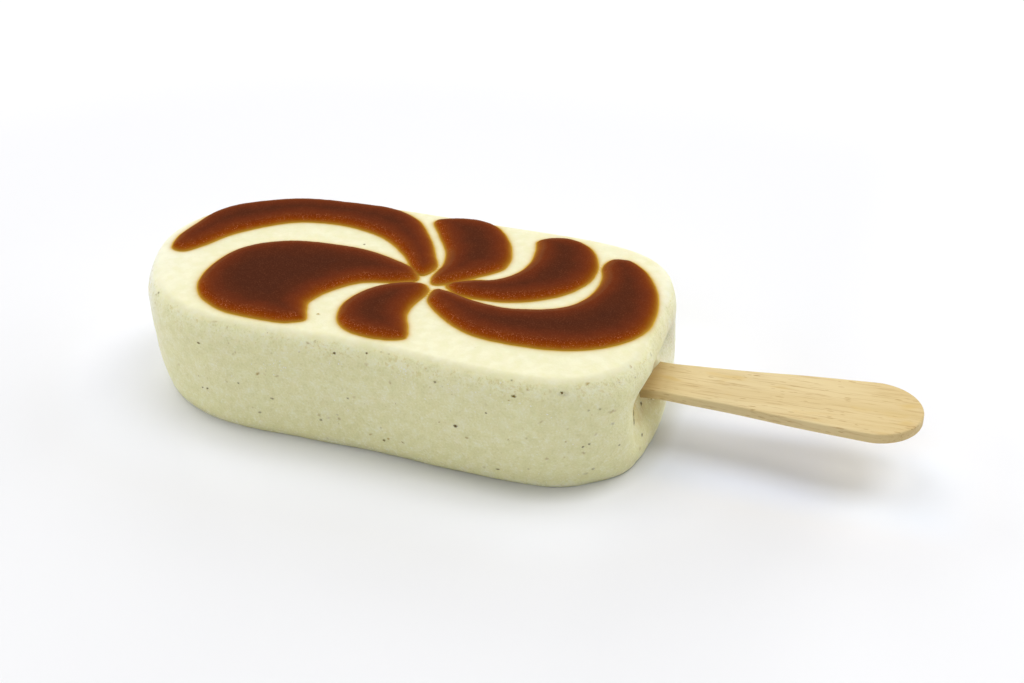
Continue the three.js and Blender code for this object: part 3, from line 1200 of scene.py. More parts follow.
@dataclass
class IceCreamBody:
    """The block of ice cream: a swelling wall, a soft rim, and a hollow where the stick goes in.

    The sizes of the hollows and of the bands that they fade in and out over are in millimetres. A
    dent has its depth, its middle across and up the end, and its half width and half height.
    """

    turns_looked_at: int = 2400
    look_level: float = 0.75
    fine_step: float = 0.28 * MM
    plain_step: float = 0.6 * MM
    row_step: float = 0.42 * MM
    cap_step: float = 0.45 * MM
    base_step: float = 2.7 * MM
    stick_middle: float = -3 * MM
    stick_room: float = 16 * MM
    slot_depth: float = 5 * MM
    even_passes: int = 10
    rim_radius: float = 2.35 * MM
    bevel_slope: float = math.radians(24)
    bevel_length: float = 3.8 * MM
    bevel_steps: int = 8
    turn_steps: int = 15
    foot_inset: float = 1.4 * MM
    foot_rise: float = 1.8 * MM
    foot_steps: int = 9
    foot_open: float = 0.75
    foot_open_along: tuple = (0, 15)
    far_sharpness: float = 0.2
    far_across: tuple = (-5, 15)
    lump_height: float = 0.12 * MM
    lump_scale: float = 120
    ripple_height: float = 0.035 * MM
    ripple_scale: float = 640
    relief_on_top: float = 0.15
    relief_from: float = 0.2 * MM
    level_from: float = 0.3
    level_over: float = 0.6
    sink: float = 0.02 * MM
    speck_room: float = 0.09 * MM
    lean: float = 0.1
    lean_ends: float = 1.1
    lean_middle: float = -24
    lean_span: float = 53
    lean_level: tuple = (9, 0)
    lean_along: tuple = (27, 22)
    lean_corner: float = 0.95
    corner_along: tuple = (26.5, 5)
    corner_across: tuple = (-5, -13)
    corner_level: tuple = (8, 0)
    overhang: float = 0.7
    overhang_level: tuple = (12, 20)
    overhang_across: tuple = (0, -15)
    dents_along: tuple = (17, 23)
    dents: tuple = (
        (1.2, -15, 15.5, 4.0, 4.6),
        (2.5, -8.7, 13.8, 3.0, 3.6),
        (-1.0, -13, 2, 6.5, 3.2),
        (0.35, -2, 14.4, 4.0, 3.0),
        (2.3, 7.2, 14.5, 3.2, 3.0),
        (0.75, 0.5, 16.6, 9.0, 3.5),
    )

    def __post_init__(self) -> None:
        """Reads the frame's solid."""
        self.low, self.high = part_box("ice_cream_body")
        points, faces = node_mesh("ice_cream_body")
        self.solid = BVHTree.FromPolygons([Vector(p) for p in points], faces)
        self.top = self.high.z - self.sink
        self.rim = self.rim_profile()
        self.rim_foot = self.top - self.rim[-1, 1]
        self.centre = Vector(((self.low.x + self.high.x) / 2, (self.low.y + self.high.y) / 2, 0))

    def rim_profile(self) -> np.ndarray:
        """Shapes the rim: a bevel that leans in from the wall, then a tighter turn onto the top.

        Returns:
            How far inwards and how far up each step lies from the wall's last ring.
        """
        share = np.linspace(0, 1, self.bevel_steps + 1)
        bevel = self.bevel_slope * (1 - (1 - share) ** 2)
        turn = np.linspace(self.bevel_slope, math.pi / 2, self.turn_steps + 1)
        leans = np.concatenate([(bevel[1:] + bevel[:-1]) / 2, (turn[1:] + turn[:-1]) / 2])
        bevel_lengths = np.full(self.bevel_steps, self.bevel_length / self.bevel_steps)
        steps = np.concatenate([bevel_lengths, self.rim_radius * np.diff(turn)])
        return np.stack([np.cumsum(steps * np.sin(leans)), np.cumsum(steps * np.cos(leans))], 1)

    def reach(self, direction: Vector, level: float) -> float:
        """Measures how far the solid's wall is from its upright middle line.

        Args:
            direction: A level direction.
            level: The height.

        Returns:
            The distance, or 0 where the wall is open.
        """
        start = self.centre + direction * 2 * OUTSIDE + Vector((0, 0, level))
        place, _, _, _ = self.solid.ray_cast(start, -direction)
        return (place - self.centre).dot(direction) if place else 0.0

    def directions(self) -> list[Vector]:
        """Spaces directions around the bar so that the wall is divided evenly, and finely by the stick.

        Returns:
            Level directions, anticlockwise.
        """
        level = self.look_level * self.high.z
        turns = np.linspace(-math.pi, math.pi, self.turns_looked_at, endpoint=False)
        ways = [Vector((math.cos(t), math.sin(t), 0)) for t in turns]
        wall = np.array([self.centre + way * self.reach(way, level) for way in ways])[:, :2]
        gaps = np.linalg.norm(np.roll(wall, -1, 0) - wall, axis=1)
        beside_stick = np.abs(wall[:, 1] - self.stick_middle) < self.stick_room
        beside_stick &= wall[:, 0] > self.centre.x
        step = np.where(beside_stick, self.fine_step, self.plain_step)
        passed = np.concatenate([[0], np.cumsum(gaps / step)])
        count = round(passed[-1])
        picks = np.interp(np.arange(count) * passed[-1] / count, passed, np.append(turns, math.pi))
        return [Vector((math.cos(t), math.sin(t), 0)) for t in picks]

    def wall(self) -> np.ndarray:
        """Samples the solid's wall from the foot's rounding to the rim's.

        Returns:
            Points by row, column and axis, with the stick's slot bridged.
        """
        ways = self.directions()
        count = round((self.rim_foot - self.foot_rise) / self.row_step)
        levels = np.linspace(self.foot_rise, self.rim_foot, count)
        reaches = np.array([[self.reach(way, level) for way in ways] for level in levels])
        for column in range(len(ways)):
            values = reaches[:, column]
            shut = values > values.max() - self.slot_depth
            reaches[:, column] = np.interp(levels, levels[shut], values[shut])
        rings = np.array([
            [[self.centre.x + way.x * r, self.centre.y + way.y * r, level] for way, r in zip(ways, row)]
            for level, row in zip(levels, reaches)
        ])
        return smooth_rings(rings, self.even_passes)

    def roundings(self, rings: np.ndarray) -> np.ndarray:
        """Adds the rounded foot below the wall and the rim above it, sharper on the far side.

        Args:
            rings: The wall's points by row, column and axis.

        Returns:
            The taller stack.
        """
        up = np.array([0, 0, 1.0])
        low, high = rings[0], rings[-1]
        angles = np.linspace(0, math.pi / 2, self.foot_steps + 1)[1:]
        tuck = self.foot_inset * (1 - self.foot_open * part_way(low[:, :1] / MM, *self.foot_open_along))
        foot = [
            low + level_inward(low) * tuck * (1 - math.cos(a)) - up * self.foot_rise * math.sin(a)
            for a in angles
        ]
        keep = 1 - self.far_sharpness * part_way(high[:, 1:2] / MM, *self.far_across)
        rim = [high + level_inward(high) * inset * keep + up * rise for inset, rise in self.rim]
        return np.stack([*foot[::-1], *rings, *rim])

    def hollows(self, rings: np.ndarray) -> np.ndarray:
        """Draws the foot in, and sinks the shoulder and the pocket beside and under the stick.

        Args:
            rings: Points by row, column and axis.

        Returns:
            The changed points.
        """
        x, y, z = (rings[..., k] / MM for k in range(3))
        end = part_way(x, *self.dents_along)
        shift = np.zeros(x.shape)
        for depth, across, level, wide, tall in self.dents:
            shift += depth * np.exp(-(((y - across) / wide) ** 2) - (((z - level) / tall) ** 2))
        lean = self.lean + self.lean_ends * ((x - self.lean_middle) / self.lean_span) ** 2
        foot = lean * part_way(z, *self.lean_level) ** 2 * part_way(x, *self.lean_along)
        middle, wide = self.corner_along
        corner = np.exp(-(((x - middle) / wide) ** 2)) * part_way(y, *self.corner_across)
        foot += self.lean_corner * corner * part_way(z, *self.corner_level) ** 2
        rim = part_way(z, *self.overhang_level) * part_way(y, *self.overhang_across)
        rim *= self.overhang * (1 - end)
        rings = rings + level_inward(rings) * ((foot - rim) * MM)[..., None]
        rings[..., 0] -= end * shift * MM
        return rings

    def relief(self, place: Vector, normal: Vector) -> float:
        """Gives the wall's soft lumps and fine ripples.

        Args:
            place: A place on the surface.
            normal: The way it faces.

        Returns:
            How far the surface moves outwards there.
        """
        side = 1 - min(1.0, max(0.0, (normal.z - self.level_from) / self.level_over))
        waves = self.lump_height * noise.noise(place * self.lump_scale)
        waves += self.ripple_height * noise.noise(place * self.ripple_scale)
        share = self.relief_on_top + (1 - self.relief_on_top) * side
        return share * waves if place.z > self.relief_from else 0.0

    def stain(self, cream: Object, sauces: list[np.ndarray]) -> None:
        """Tells the cream how far it is from the sauce, which colours it.

        Args:
            cream: The block.
            sauces: The outlines of the sauce on it.
        """
        points = np.array([v.co for v in cream.data.vertices])
        on_top = points[:, 2] > self.rim_foot
        plan = points[on_top][:, :2]
        away = np.min([distance_to_loop(plan, o) * (1 - 2 * inside_loop(plan, o)) for o in sauces], axis=0)
        values = np.full(len(points), CLEAR_OF_SAUCE)
        values[on_top] = away / MM
        add_values(cream, STAIN, values)

    def build(self, material: Material) -> Object:
        """Builds the block.

        Args:
            material: The cream.

        Returns:
            The object.
        """
        rings = self.hollows(self.roundings(self.wall()))
        points, faces = closed_stack(rings, self.cap_step, self.base_step)
        piece = new_piece("vanilla_ice_cream", points, faces, material)
        normals = [n.vector.copy() for n in piece.data.vertex_normals]
        room = Vector((self.speck_room, self.speck_room, 0))
        low, high = self.low + room, self.high - room
        for vertex, normal in zip(piece.data.vertices, normals):
            place = vertex.co + normal * self.relief(vertex.co, normal)
            vertex.co = [min(max(v, a), b) for v, a, b in zip(place, low, high)]
        piece.data.update()
        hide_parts("ice_cream_body")
        return piece


# ---- Sauce ----


@dataclass
class SaucePetals:
    """The six petals of caramel sauce, low domes with wide soft edges, and two thin films between them.

    The spill and the gather are swellings of the outlines: the place, how wide it is and how much it
    adds. Those and the films' corners are in millimetres, in plan.
    """

    flat_within: float = 0.01 * MM
    edge_width: float = 3.3 * MM
    sunk: float = 0.2 * MM
    outline_step: float = 0.35 * MM
    grid_step: float = 0.5 * MM
    edge_steps: tuple = (0.08 * MM, 0.2 * MM, 0.36 * MM, 0.6 * MM)
    spread: float = 0.12 * MM
    spread_across: float = 0.17 * MM
    spread_far: float = 1.3
    wander: float = 0.11 * MM
    wander_scale: float = 260
    ragged_scale: float = 900
    ragged_share: float = 0.5
    spill: tuple = (-69.5, 13.0, 8.0, 1.3)
    gather: tuple = (-17.2, -1.6, 8.0, 0.35)
    film_thickness: float = 0.2 * MM
    film_edge: float = 1.2 * MM
    films: tuple = (
        (
            (-13.9, -0.3), (-13.2, 0.8), (-9.6, 2.4), (-6.6, 2.9),
            (-7.4, 1.2), (-10.6, -0.6), (-12.6, -2.3), (-13.6, -1.7),
        ),
        (
            (-24.6, -3.9), (-23.2, -3.0), (-21.6, -2.4), (-20.3, -2.0),
            (-20.4, -2.6), (-22.0, -3.2), (-23.4, -3.8),
        ),
    )
    swell: float = 0.07 * MM
    swell_scale: float = 170
    count: int = 6

    def __post_init__(self) -> None:
        """Reads the petals' heights."""
        low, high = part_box("sauce_petal_1")
        self.base, self.thickness = low.z, high.z - low.z
        self.ground = None

    def lie_on(self, cream: Object) -> None:
        """Sets the surface that the sauce lies on."""
        faces = [tuple(face.vertices) for face in cream.data.polygons]
        self.ground = BVHTree.FromPolygons([v.co for v in cream.data.vertices], faces)

    def outline(self, node: str) -> np.ndarray:
        """Draws a petal's outline from the flat underside of its solid.

        Args:
            node: The petal's node.

        Returns:
            Points in plan, anticlockwise.
        """
        points, faces = node_mesh(node)
        level = self.base + self.flat_within
        under = [face for face in faces if all(points[i][2] < level for i in face)]
        curve = closed_curve(points[loop_round(under)][:, :2][::-1], self.outline_step)
        outward = -level_inward(curve)
        far = outward[:, 1] > 0
        waves = [
            noise.noise(Vector((*p, 0)) * self.wander_scale)
            + self.ragged_share * noise.noise(Vector((*p, 1)) * self.ragged_scale)
            for p in curve
        ]
        shift = self.spread + self.wander * np.array(waves)
        shift += self.spread_across * np.where(far, self.spread_far, 1.0) * np.abs(outward[:, 1])
        for (x, y, reach, amount), where in ((self.spill, far), (self.gather, 1)):
            near = np.hypot(curve[:, 0] - x * MM, curve[:, 1] - y * MM) / (reach * MM)
            shift += amount * MM * np.exp(-(near**2)) * where
        return curve + outward * shift[:, None]

    def pool(
        self, name: str, outline: np.ndarray, full: float, width: float, material: Material
    ) -> Object:
        """Builds one closed pool of sauce.

        Args:
            name: The piece's name.
            outline: Its outline.
            full: Its thickness away from the edge.
            width: The width of its rounded edge.
            material: The sauce.

        Returns:
            The object.
        """
        places, triangles = fill_loop(outline, self.grid_step, self.edge_steps)
        inward = distance_to_loop(places, outline)
        down = Vector((0, 0, -1))
        hits = [self.ground.ray_cast(Vector((*p, OUTSIDE)), down)[0] for p in places]
        levels = np.array([hit.z if hit else 0.0 for hit in hits])
        swell = np.array([noise.noise(Vector((*p, 0)) * self.swell_scale) for p in places]) * self.swell
        heights = levels + (full - self.swell + swell) * (1 - (1 - part_way(inward, 0, width)) ** 3)
        count, total = len(outline), len(places)
        under = np.column_stack([outline, levels[:count] - self.sunk])
        points = np.vstack([np.column_stack([places, heights]), under])
        wall = [(i, total + i, total + (i + 1) % count, (i + 1) % count) for i in range(count)]
        floor = [face[::-1] for face in renumbered(triangles_in(outline, count), total)]
        piece = new_piece(name, points, [*triangles, *wall, *floor], material)
        add_values(piece, INWARD, np.concatenate([inward / MM, np.zeros(count)]))
        return piece

    def build(self, material: Material) -> tuple[list[Object], list[np.ndarray]]:
        """Builds the petals and the films.

        Args:
            material: The sauce.

        Returns:
            The objects, and their outlines.
        """
        pieces, outlines = [], []
        for number in range(1, self.count + 1):
            node = f"sauce_petal_{number}"
            outlines.append(self.outline(node))
            name = f"caramel_petal_{number}"
            pieces.append(self.pool(name, outlines[-1], self.thickness, self.edge_width, material))
            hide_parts(node)
        for number, corners in enumerate(self.films, 1):
            film = closed_curve(np.array(corners) * MM, self.outline_step)[::-1]
            name = f"caramel_film_{number}"
            pieces.append(self.pool(name, film, self.film_thickness, self.film_edge, material))
            outlines.append(film)
        return pieces, outlines


# ---- Stick ----


@dataclass
class Stick:
    """The flat wooden stick, with rounded long edges."""

    flat_within: float = 0.02 * MM
    outline_step: float = 0.5 * MM
    grid_step: float = 1.6 * MM
    edge_radius: float = 0.32 * MM
    edge_rings: int = 13
    tilt: float = math.radians(2.6)

    def build(self, material: Material) -> Object:
        """Builds the stick from its solid, laid level around its middle and then tilted back.

        Args:
            material: The wood.

        Returns:
            The object.
        """
        points, faces = node_mesh("stick")
        middle = Vector(points.min(0) + points.max(0)) / 2
        lay = Matrix.Rotation(self.tilt, 3, "Y")
        flat = np.array([lay @ (Vector(p) - middle) for p in points])
        half = flat[:, 2].max()
        top = [face for face in faces if all(flat[i][2] > half - self.flat_within for i in face)]
        corners = flat[loop_round(top)][:, :2]
        chamfer = flat[:, 0].max() - corners[:, 0].max()
        inner = closed_curve(corners, self.outline_step)
        rings = []
        for angle in np.linspace(-math.pi / 2, math.pi / 2, self.edge_rings):
            spread = chamfer - self.edge_radius * (1 - math.cos(angle))
            height = math.copysign(half - self.edge_radius, angle) + self.edge_radius * math.sin(angle)
            ring = inner - level_inward(inner) * spread
            rings.append(np.column_stack([ring, np.full(len(inner), height)]))
        points, faces = closed_stack(np.stack(rings), self.grid_step, self.grid_step)
        placed = np.array([lay.transposed() @ Vector(p) + middle for p in points])
        piece = new_piece("wooden_stick", placed, faces, material)
        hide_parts("stick")
        return piece


# ---- Specks ----


class Skin:
    """The bare surface of the ice cream, for placing specks."""

    level_face: float = 0.8
    under_face: float = -0.3
    share_on_top: float = 0.08

    def __init__(self, cream: Object, sauces: list[np.ndarray]) -> None:
        """Reads the surface.

        Args:
            cream: The block of ice cream.
            sauces: The outlines of the sauce on its top.
        """
        mesh = cream.data
        mesh.calc_loop_triangles()
        points = np.array([v.co for v in mesh.vertices])
        triangles = np.array([t.vertices for t in mesh.loop_triangles])
        self.corners = points[triangles]
        a, b, c = (self.corners[:, k] for k in range(3))
        crosses = np.cross(b - a, c - a)
        areas = np.linalg.norm(crosses, axis=1) / 2
        self.normals = crosses / np.maximum(areas[:, None] * 2, TINY)
        top = self.normals[:, 2] > self.level_face
        weight = areas * np.where(top, self.share_on_top, 1.0)
        weight[self.normals[:, 2] < self.under_face] = 0
        middles = self.corners.mean(1)
        for outline in sauces:
            weight[top & inside_loop(middles[:, :2], outline)] = 0
        self.chances = np.cumsum(weight) / weight.sum()
        self.tree = BVHTree.FromPolygons([Vector(p) for p in points], triangles.tolist())

    def at(self, face: Face, a: float, b: float) -> Ground:
        """Finds a place on a face.

        Args:
            face: The face.
            a: In millimetres, X on the top and the near side, or Y on the end.
            b: In millimetres, Y on the top, or Z on the near side and the end.

        Returns:
            The place, and the way the surface faces there.
        """
        a, b = a * MM, b * MM
        start, way = {
            Face.TOP: ((a, b, OUTSIDE), (0, 0, -1)),
            Face.NEAR_SIDE: ((a, -OUTSIDE, b), (0, 1, 0)),
            Face.STICK_END: ((OUTSIDE, a, b), (-1, 0, 0)),
        }[face]
        return self.tree.ray_cast(Vector(start), Vector(way))[:2]

    def nearest(self, place: Vector) -> Ground:
        """Finds the nearest place on the surface, and the way it faces."""
        return self.tree.find_nearest(place)[:2]

    def anywhere(self, chance: random.Random) -> Ground:
        """Picks a random place on the bare surface.

        Args:
            chance: The source of chance.

        Returns:
            The place, and the way the surface faces there.
        """
        number = int(np.searchsorted(self.chances, chance.random()))
        a, b = sorted((chance.random(), chance.random()))
        shares = np.array([a, b - a, 1 - b])
        return Vector(shares @ self.corners[number]), Vector(self.normals[number])


def facing_out(normal: Vector, turn: float) -> Matrix:
    """Gives the turn that lays a flat thing on a surface that faces a way, after a turn of its own."""
    return normal.to_track_quat("Z", "X").to_matrix() @ Matrix.Rotation(turn, 3, "Z")


@dataclass(frozen=True)
class Speck:
    """One speck: its place across its face and its size in millimetres, its turn and its strength."""

    a: float
    b: float
    length: float
    width: float
    turn: float = 0.0
    strength: float = 1.0


@dataclass
class SpeckKind:
    """A kind of soft speck in the cream, joined into one piece of thin patches.

    The rings give how far out each ring of a patch lies, and its share of the speck's own tone.
    """

    name: str
    finish: SpeckFinish
    placed: dict[Face, tuple[tuple, ...]]
    scattered: int
    least: float
    most: float
    seed: int
    strengths: tuple
    smallness: float = 2.4
    slimness: tuple = (0.5, 0.95)
    raggedness: tuple = (0.75, 1.2)
    rings: tuple = ((0.22, 0.95), (0.48, 0.62), (0.75, 0.22), (1.0, 0.0))
    sides: int = 10
    margin: float = 2.1
    lift: float = 0.05 * MM
    dip: float = 0.01 * MM

    def patch(
        self, skin: Skin, ground: Ground, speck: Speck, chance: random.Random
    ) -> tuple[list[Vector], list[float], Faces]:
        """Makes one speck as a thin patch on the skin.

        Args:
            skin: The surface that the speck lies in.
            ground: Its place, and the way the skin faces there.
            speck: Its size, turn and strength.
            chance: The source of chance.

        Returns:
            Its points, their share of the speck's own tone, and its faces.
        """
        place, normal = ground
        turned = facing_out(normal, speck.turn + math.pi / 2)
        raggedness = [chance.uniform(*self.raggedness) for _ in range(self.sides)]
        points, cores = [place + normal * self.lift], [speck.strength]
        for share, core in self.rings:
            for side, ragged in enumerate(raggedness):
                angle = 2 * math.pi * side / self.sides
                reach = share * ragged * self.margin / 2 * MM
                flat = Vector((math.cos(angle) * speck.length, math.sin(angle) * speck.width, 0)) * reach
                near, facing = skin.nearest(place + turned @ flat)
                points.append(near + facing * (self.lift * (1 - share**2) - self.dip * share))
                cores.append(core * speck.strength)
        n = self.sides
        faces = [(0, 1 + i, 1 + (i + 1) % n) for i in range(n)]
        for ring in range(len(self.rings) - 1):
            a, b = 1 + ring * n, 1 + (ring + 1) * n
            faces += [(a + i, b + i, b + (i + 1) % n, a + (i + 1) % n) for i in range(n)]
        return points, cores, faces

    def scatter(self, skin: Skin, chance: random.Random) -> tuple[Ground, Speck]:
        """Picks a random place and a small speck for it.

        Args:
            skin: The surface that it lies in.
            chance: The source of chance.

        Returns:
            Where it lies, and the speck.
        """
        size = self.least + (self.most - self.least) * chance.random() ** self.smallness
        width, turn = size * chance.uniform(*self.slimness), chance.uniform(0, math.pi)
        ground = skin.anywhere(chance)
        return ground, Speck(0, 0, size, width, turn, chance.uniform(*self.strengths))

    def build(self, skin: Skin, groups: Groups) -> Object:
        """Builds the kind's piece.

        Args:
            skin: The surface that the specks lie in.
            groups: The shared node groups.

        Returns:
            The object.
        """
        chance = random.Random(self.seed)
        specks = [(face, Speck(*row)) for face, rows in self.placed.items() for row in rows]
        spots = [(skin.at(face, speck.a, speck.b), speck) for face, speck in specks]
        spots += [self.scatter(skin, chance) for _ in range(self.scattered)]
        points, cores, faces = [], [], []
        for ground, speck in spots:
            more, shares, patch = self.patch(skin, ground, speck, chance)
            faces += renumbered(patch, len(points))
            points += more
            cores += shares
        piece = new_piece(self.name, np.array(points), faces, self.finish.material(groups))
        add_values(piece, CORE, np.array(cores))
        return piece


@dataclass
class IceCrystals:
    """Small lumps of white ice on the walls, thickest near the rim.

    One crystal in three lies in a cluster; the clusters' X and Z are in millimetres.
    """

    count: int = 420
    least: float = 0.14 * MM
    most: float = 0.5 * MM
    width: tuple = (0.25, 0.5)
    thickness: float = 0.3
    uneven: float = 0.45
    uneven_scale: float = 1.3
    uneven_reach: float = 40.0
    most_turn: float = 3.0
    roundness: int = 2
    seed: int = 37
    sunk: float = 0.62
    in_clusters: int = 3
    cluster_spread: tuple = (2.2, 1.1)
    clusters: tuple = ((-38.2, 18.0), (-14.0, 21.0), (-2.0, 20.5), (6.0, 21.5), (-27.0, 20.0), (13.0, 19.0))

    def ball(self) -> tuple[list[Vector], Faces]:
        """Makes a round lump of radius 1.

        Returns:
            Its points and faces.
        """
        ball = bmesh.new()
        bmesh.ops.create_icosphere(ball, subdivisions=self.roundness, radius=1.0)
        points = [v.co.copy() for v in ball.verts]
        faces = [tuple(v.index for v in face.verts) for face in ball.faces]
        ball.free()
        return points, faces

    def spot(self, number: int, skin: Skin, chance: random.Random) -> Ground:
        """Picks a crystal's place.

        Args:
            number: The crystal's number.
            skin: The surface that it lies in.
            chance: The source of chance.

        Returns:
            The place, and the way the surface faces there.
        """
        if number % self.in_clusters:
            return skin.anywhere(chance)
        cluster = self.clusters[number // self.in_clusters % len(self.clusters)]
        a, b = (middle + chance.gauss(0, spread) for middle, spread in zip(cluster, self.cluster_spread))
        return skin.at(Face.NEAR_SIDE, a, b)

    def build(self, skin: Skin, groups: Groups) -> Object:
        """Builds the crystals.

        Args:
            skin: The surface that they lie in.
            groups: The shared node groups.

        Returns:
            The object.
        """
        chance = random.Random(self.seed)
        ball, ball_faces = self.ball()
        points, faces = [], []
        for number in range(self.count):
            place, normal = self.spot(number, skin, chance)
            if place is None:
                continue
            size = self.least + (self.most - self.least) * chance.random() ** 2
            half = Vector((size / 2, size * chance.uniform(*self.width), size * self.thickness))
            turned = facing_out(normal, chance.uniform(0, self.most_turn))
            shift = Vector((chance.random(), chance.random(), chance.random())) * self.uneven_reach
            middle = place - normal * half.z * self.sunk
            faces += renumbered(ball_faces, len(points))
            for p in ball:
                uneven = 1 + self.uneven * noise.noise(p * self.uneven_scale + shift)
                points.append(middle + turned @ (p * half) * uneven)
        material = CrystalFinish().material(groups)
        return new_piece("ice_crystals", np.array(points), faces, material)


SEEDS = SpeckKind(
    name="vanilla_seeds",
    finish=SpeckFinish("vanilla_seed", linear(82, 62, 0), linear(116, 95, 6)),
    placed={
        Face.NEAR_SIDE: (
            (17.1, 22.6, 0.85, 0.68, 0.3),
            (17.3, 22.5, 1.8, 1.1, 0.1, 0.35),
            (-2.3, 12.0, 0.62, 0.6),
            (8.8, 21.1, 0.75, 0.46, 0.2),
            (-53.7, 18.9, 0.55, 0.42, 0.0, 0.9),
            (-25.8, 22.1, 0.5, 0.42),
            (-53.5, 8.3, 0.55, 0.36, 0.5, 0.78),
            (-54.7, 8.1, 0.5, 0.34, 0.5, 0.68),
            (-42.4, 5.5, 0.65, 0.42, 0.6, 0.62),
            (-39.3, 9.5, 0.6, 0.38, 0.0, 0.7),
            (-29.7, 6.4, 0.6, 0.4, 0.3, 0.64),
            (-19.6, 23.0, 0.42, 0.36, 0.0, 0.9),
            (8.1, 23.7, 0.4, 0.34, 0.0, 0.55),
            (3.6, 16.3, 0.36, 0.3, 0.0, 0.8),
            (5.4, 3.4, 0.7, 0.34, 0.1, 0.75),
            (-17.2, 4.3, 0.5, 0.42, 0.0, 0.95),
            (21.5, 18.9, 0.5, 0.4, 0.0, 0.45),
            (23.2, 18.7, 0.5, 0.42, 0.0, 0.55),
            (25.2, 14.9, 0.8, 0.5, 0.0, 0.45),
            (22.2, 4.8, 0.65, 0.55, 0.0, 0.56),
            (21.0, 3.7, 1.0, 0.8, 0.0, 0.35),
            (21.7, 11.3, 0.42, 0.38, 0.0, 0.76),
            (20.7, 10.8, 0.42, 0.34, 0.0, 0.8),
            (26.2, 9.2, 0.5, 0.4, 0.0, 0.55),
            (-5.9, 20.8, 0.5, 0.4, 0.0, 0.7),
            (-46.0, 11.7, 0.5, 0.4, 0.0, 0.6),
            (-23.8, 12.6, 0.5, 0.4, 0.0, 0.6),
            (-65.6, 23.6, 0.7, 0.45, 0.4, 0.6),
        ),
        Face.TOP: (
            (-35.3, 8.7, 0.5, 0.4, 0.5, 0.8),
        ),
        Face.STICK_END: (
            (-10.1, 4.9, 0.8, 0.36, 0.35, 0.8),
            (-9.2, 22.5, 0.8, 0.3, 1.3, 0.6),
            (-5.7, 8.8, 0.9, 0.5, 2.0, 0.95),
            (-9.4, 9.0, 1.4, 0.34, 0.7),
            (-10.4, 8.0, 1.3, 0.4, 0.7),
            (-1.4, 7.3, 0.7, 0.35, 0.2, 0.6),
        ),
    },
    scattered=130,
    least=0.2,
    most=0.5,
    seed=11,
    strengths=(0.1, 0.45),
)

FLECKS = SpeckKind(
    name="ochre_vanilla_flecks",
    finish=SpeckFinish("ochre_pod_fleck", linear(148, 116, 8), linear(176, 144, 16)),
    placed={
        Face.NEAR_SIDE: (
            (-41.6, 14.8, 0.95, 0.5, 0.7, 0.68),
            (-37.6, 15.1, 0.85, 0.4, 0.5, 0.45),
            (-0.2, 9.8, 0.65, 0.45, 0.0, 0.58),
            (-19.8, 5.1, 0.75, 0.4, 0.7, 0.56),
            (-16.2, 5.0, 0.5, 0.4, 0.0, 0.7),
            (13.7, 16.6, 1.3, 0.42, 0.7, 0.42),
            (14.6, 8.0, 0.7, 0.55, 0.5, 0.5),
            (-46.2, 18.2, 0.6, 0.5, 0.0, 0.35),
            (-31.1, 23.0, 0.8, 0.4, 0.0, 0.48),
            (-29.8, 23.5, 0.6, 0.4, 0.8, 0.45),
            (-50.2, 23.7, 1.5, 0.4, 0.2, 0.4),
            (-47.3, 23.4, 0.7, 0.5, 1.2, 0.4),
            (7.9, 20.0, 0.5, 0.3, 0.0, 0.55),
            (11.2, 22.7, 0.6, 0.4, 0.0, 0.5),
            (25.0, 17.6, 1.9, 0.7, 0.0, 0.45),
            (20.8, 23.6, 0.8, 0.5, 0.4, 0.6),
        ),
        Face.TOP: (
            (-32.6, -18.4, 0.6, 0.45, 0.0, 0.8),
        ),
    },
    scattered=190,
    least=0.25,
    most=0.8,
    seed=23,
    strengths=(0.12, 0.6),
)


# ---- Studio ----


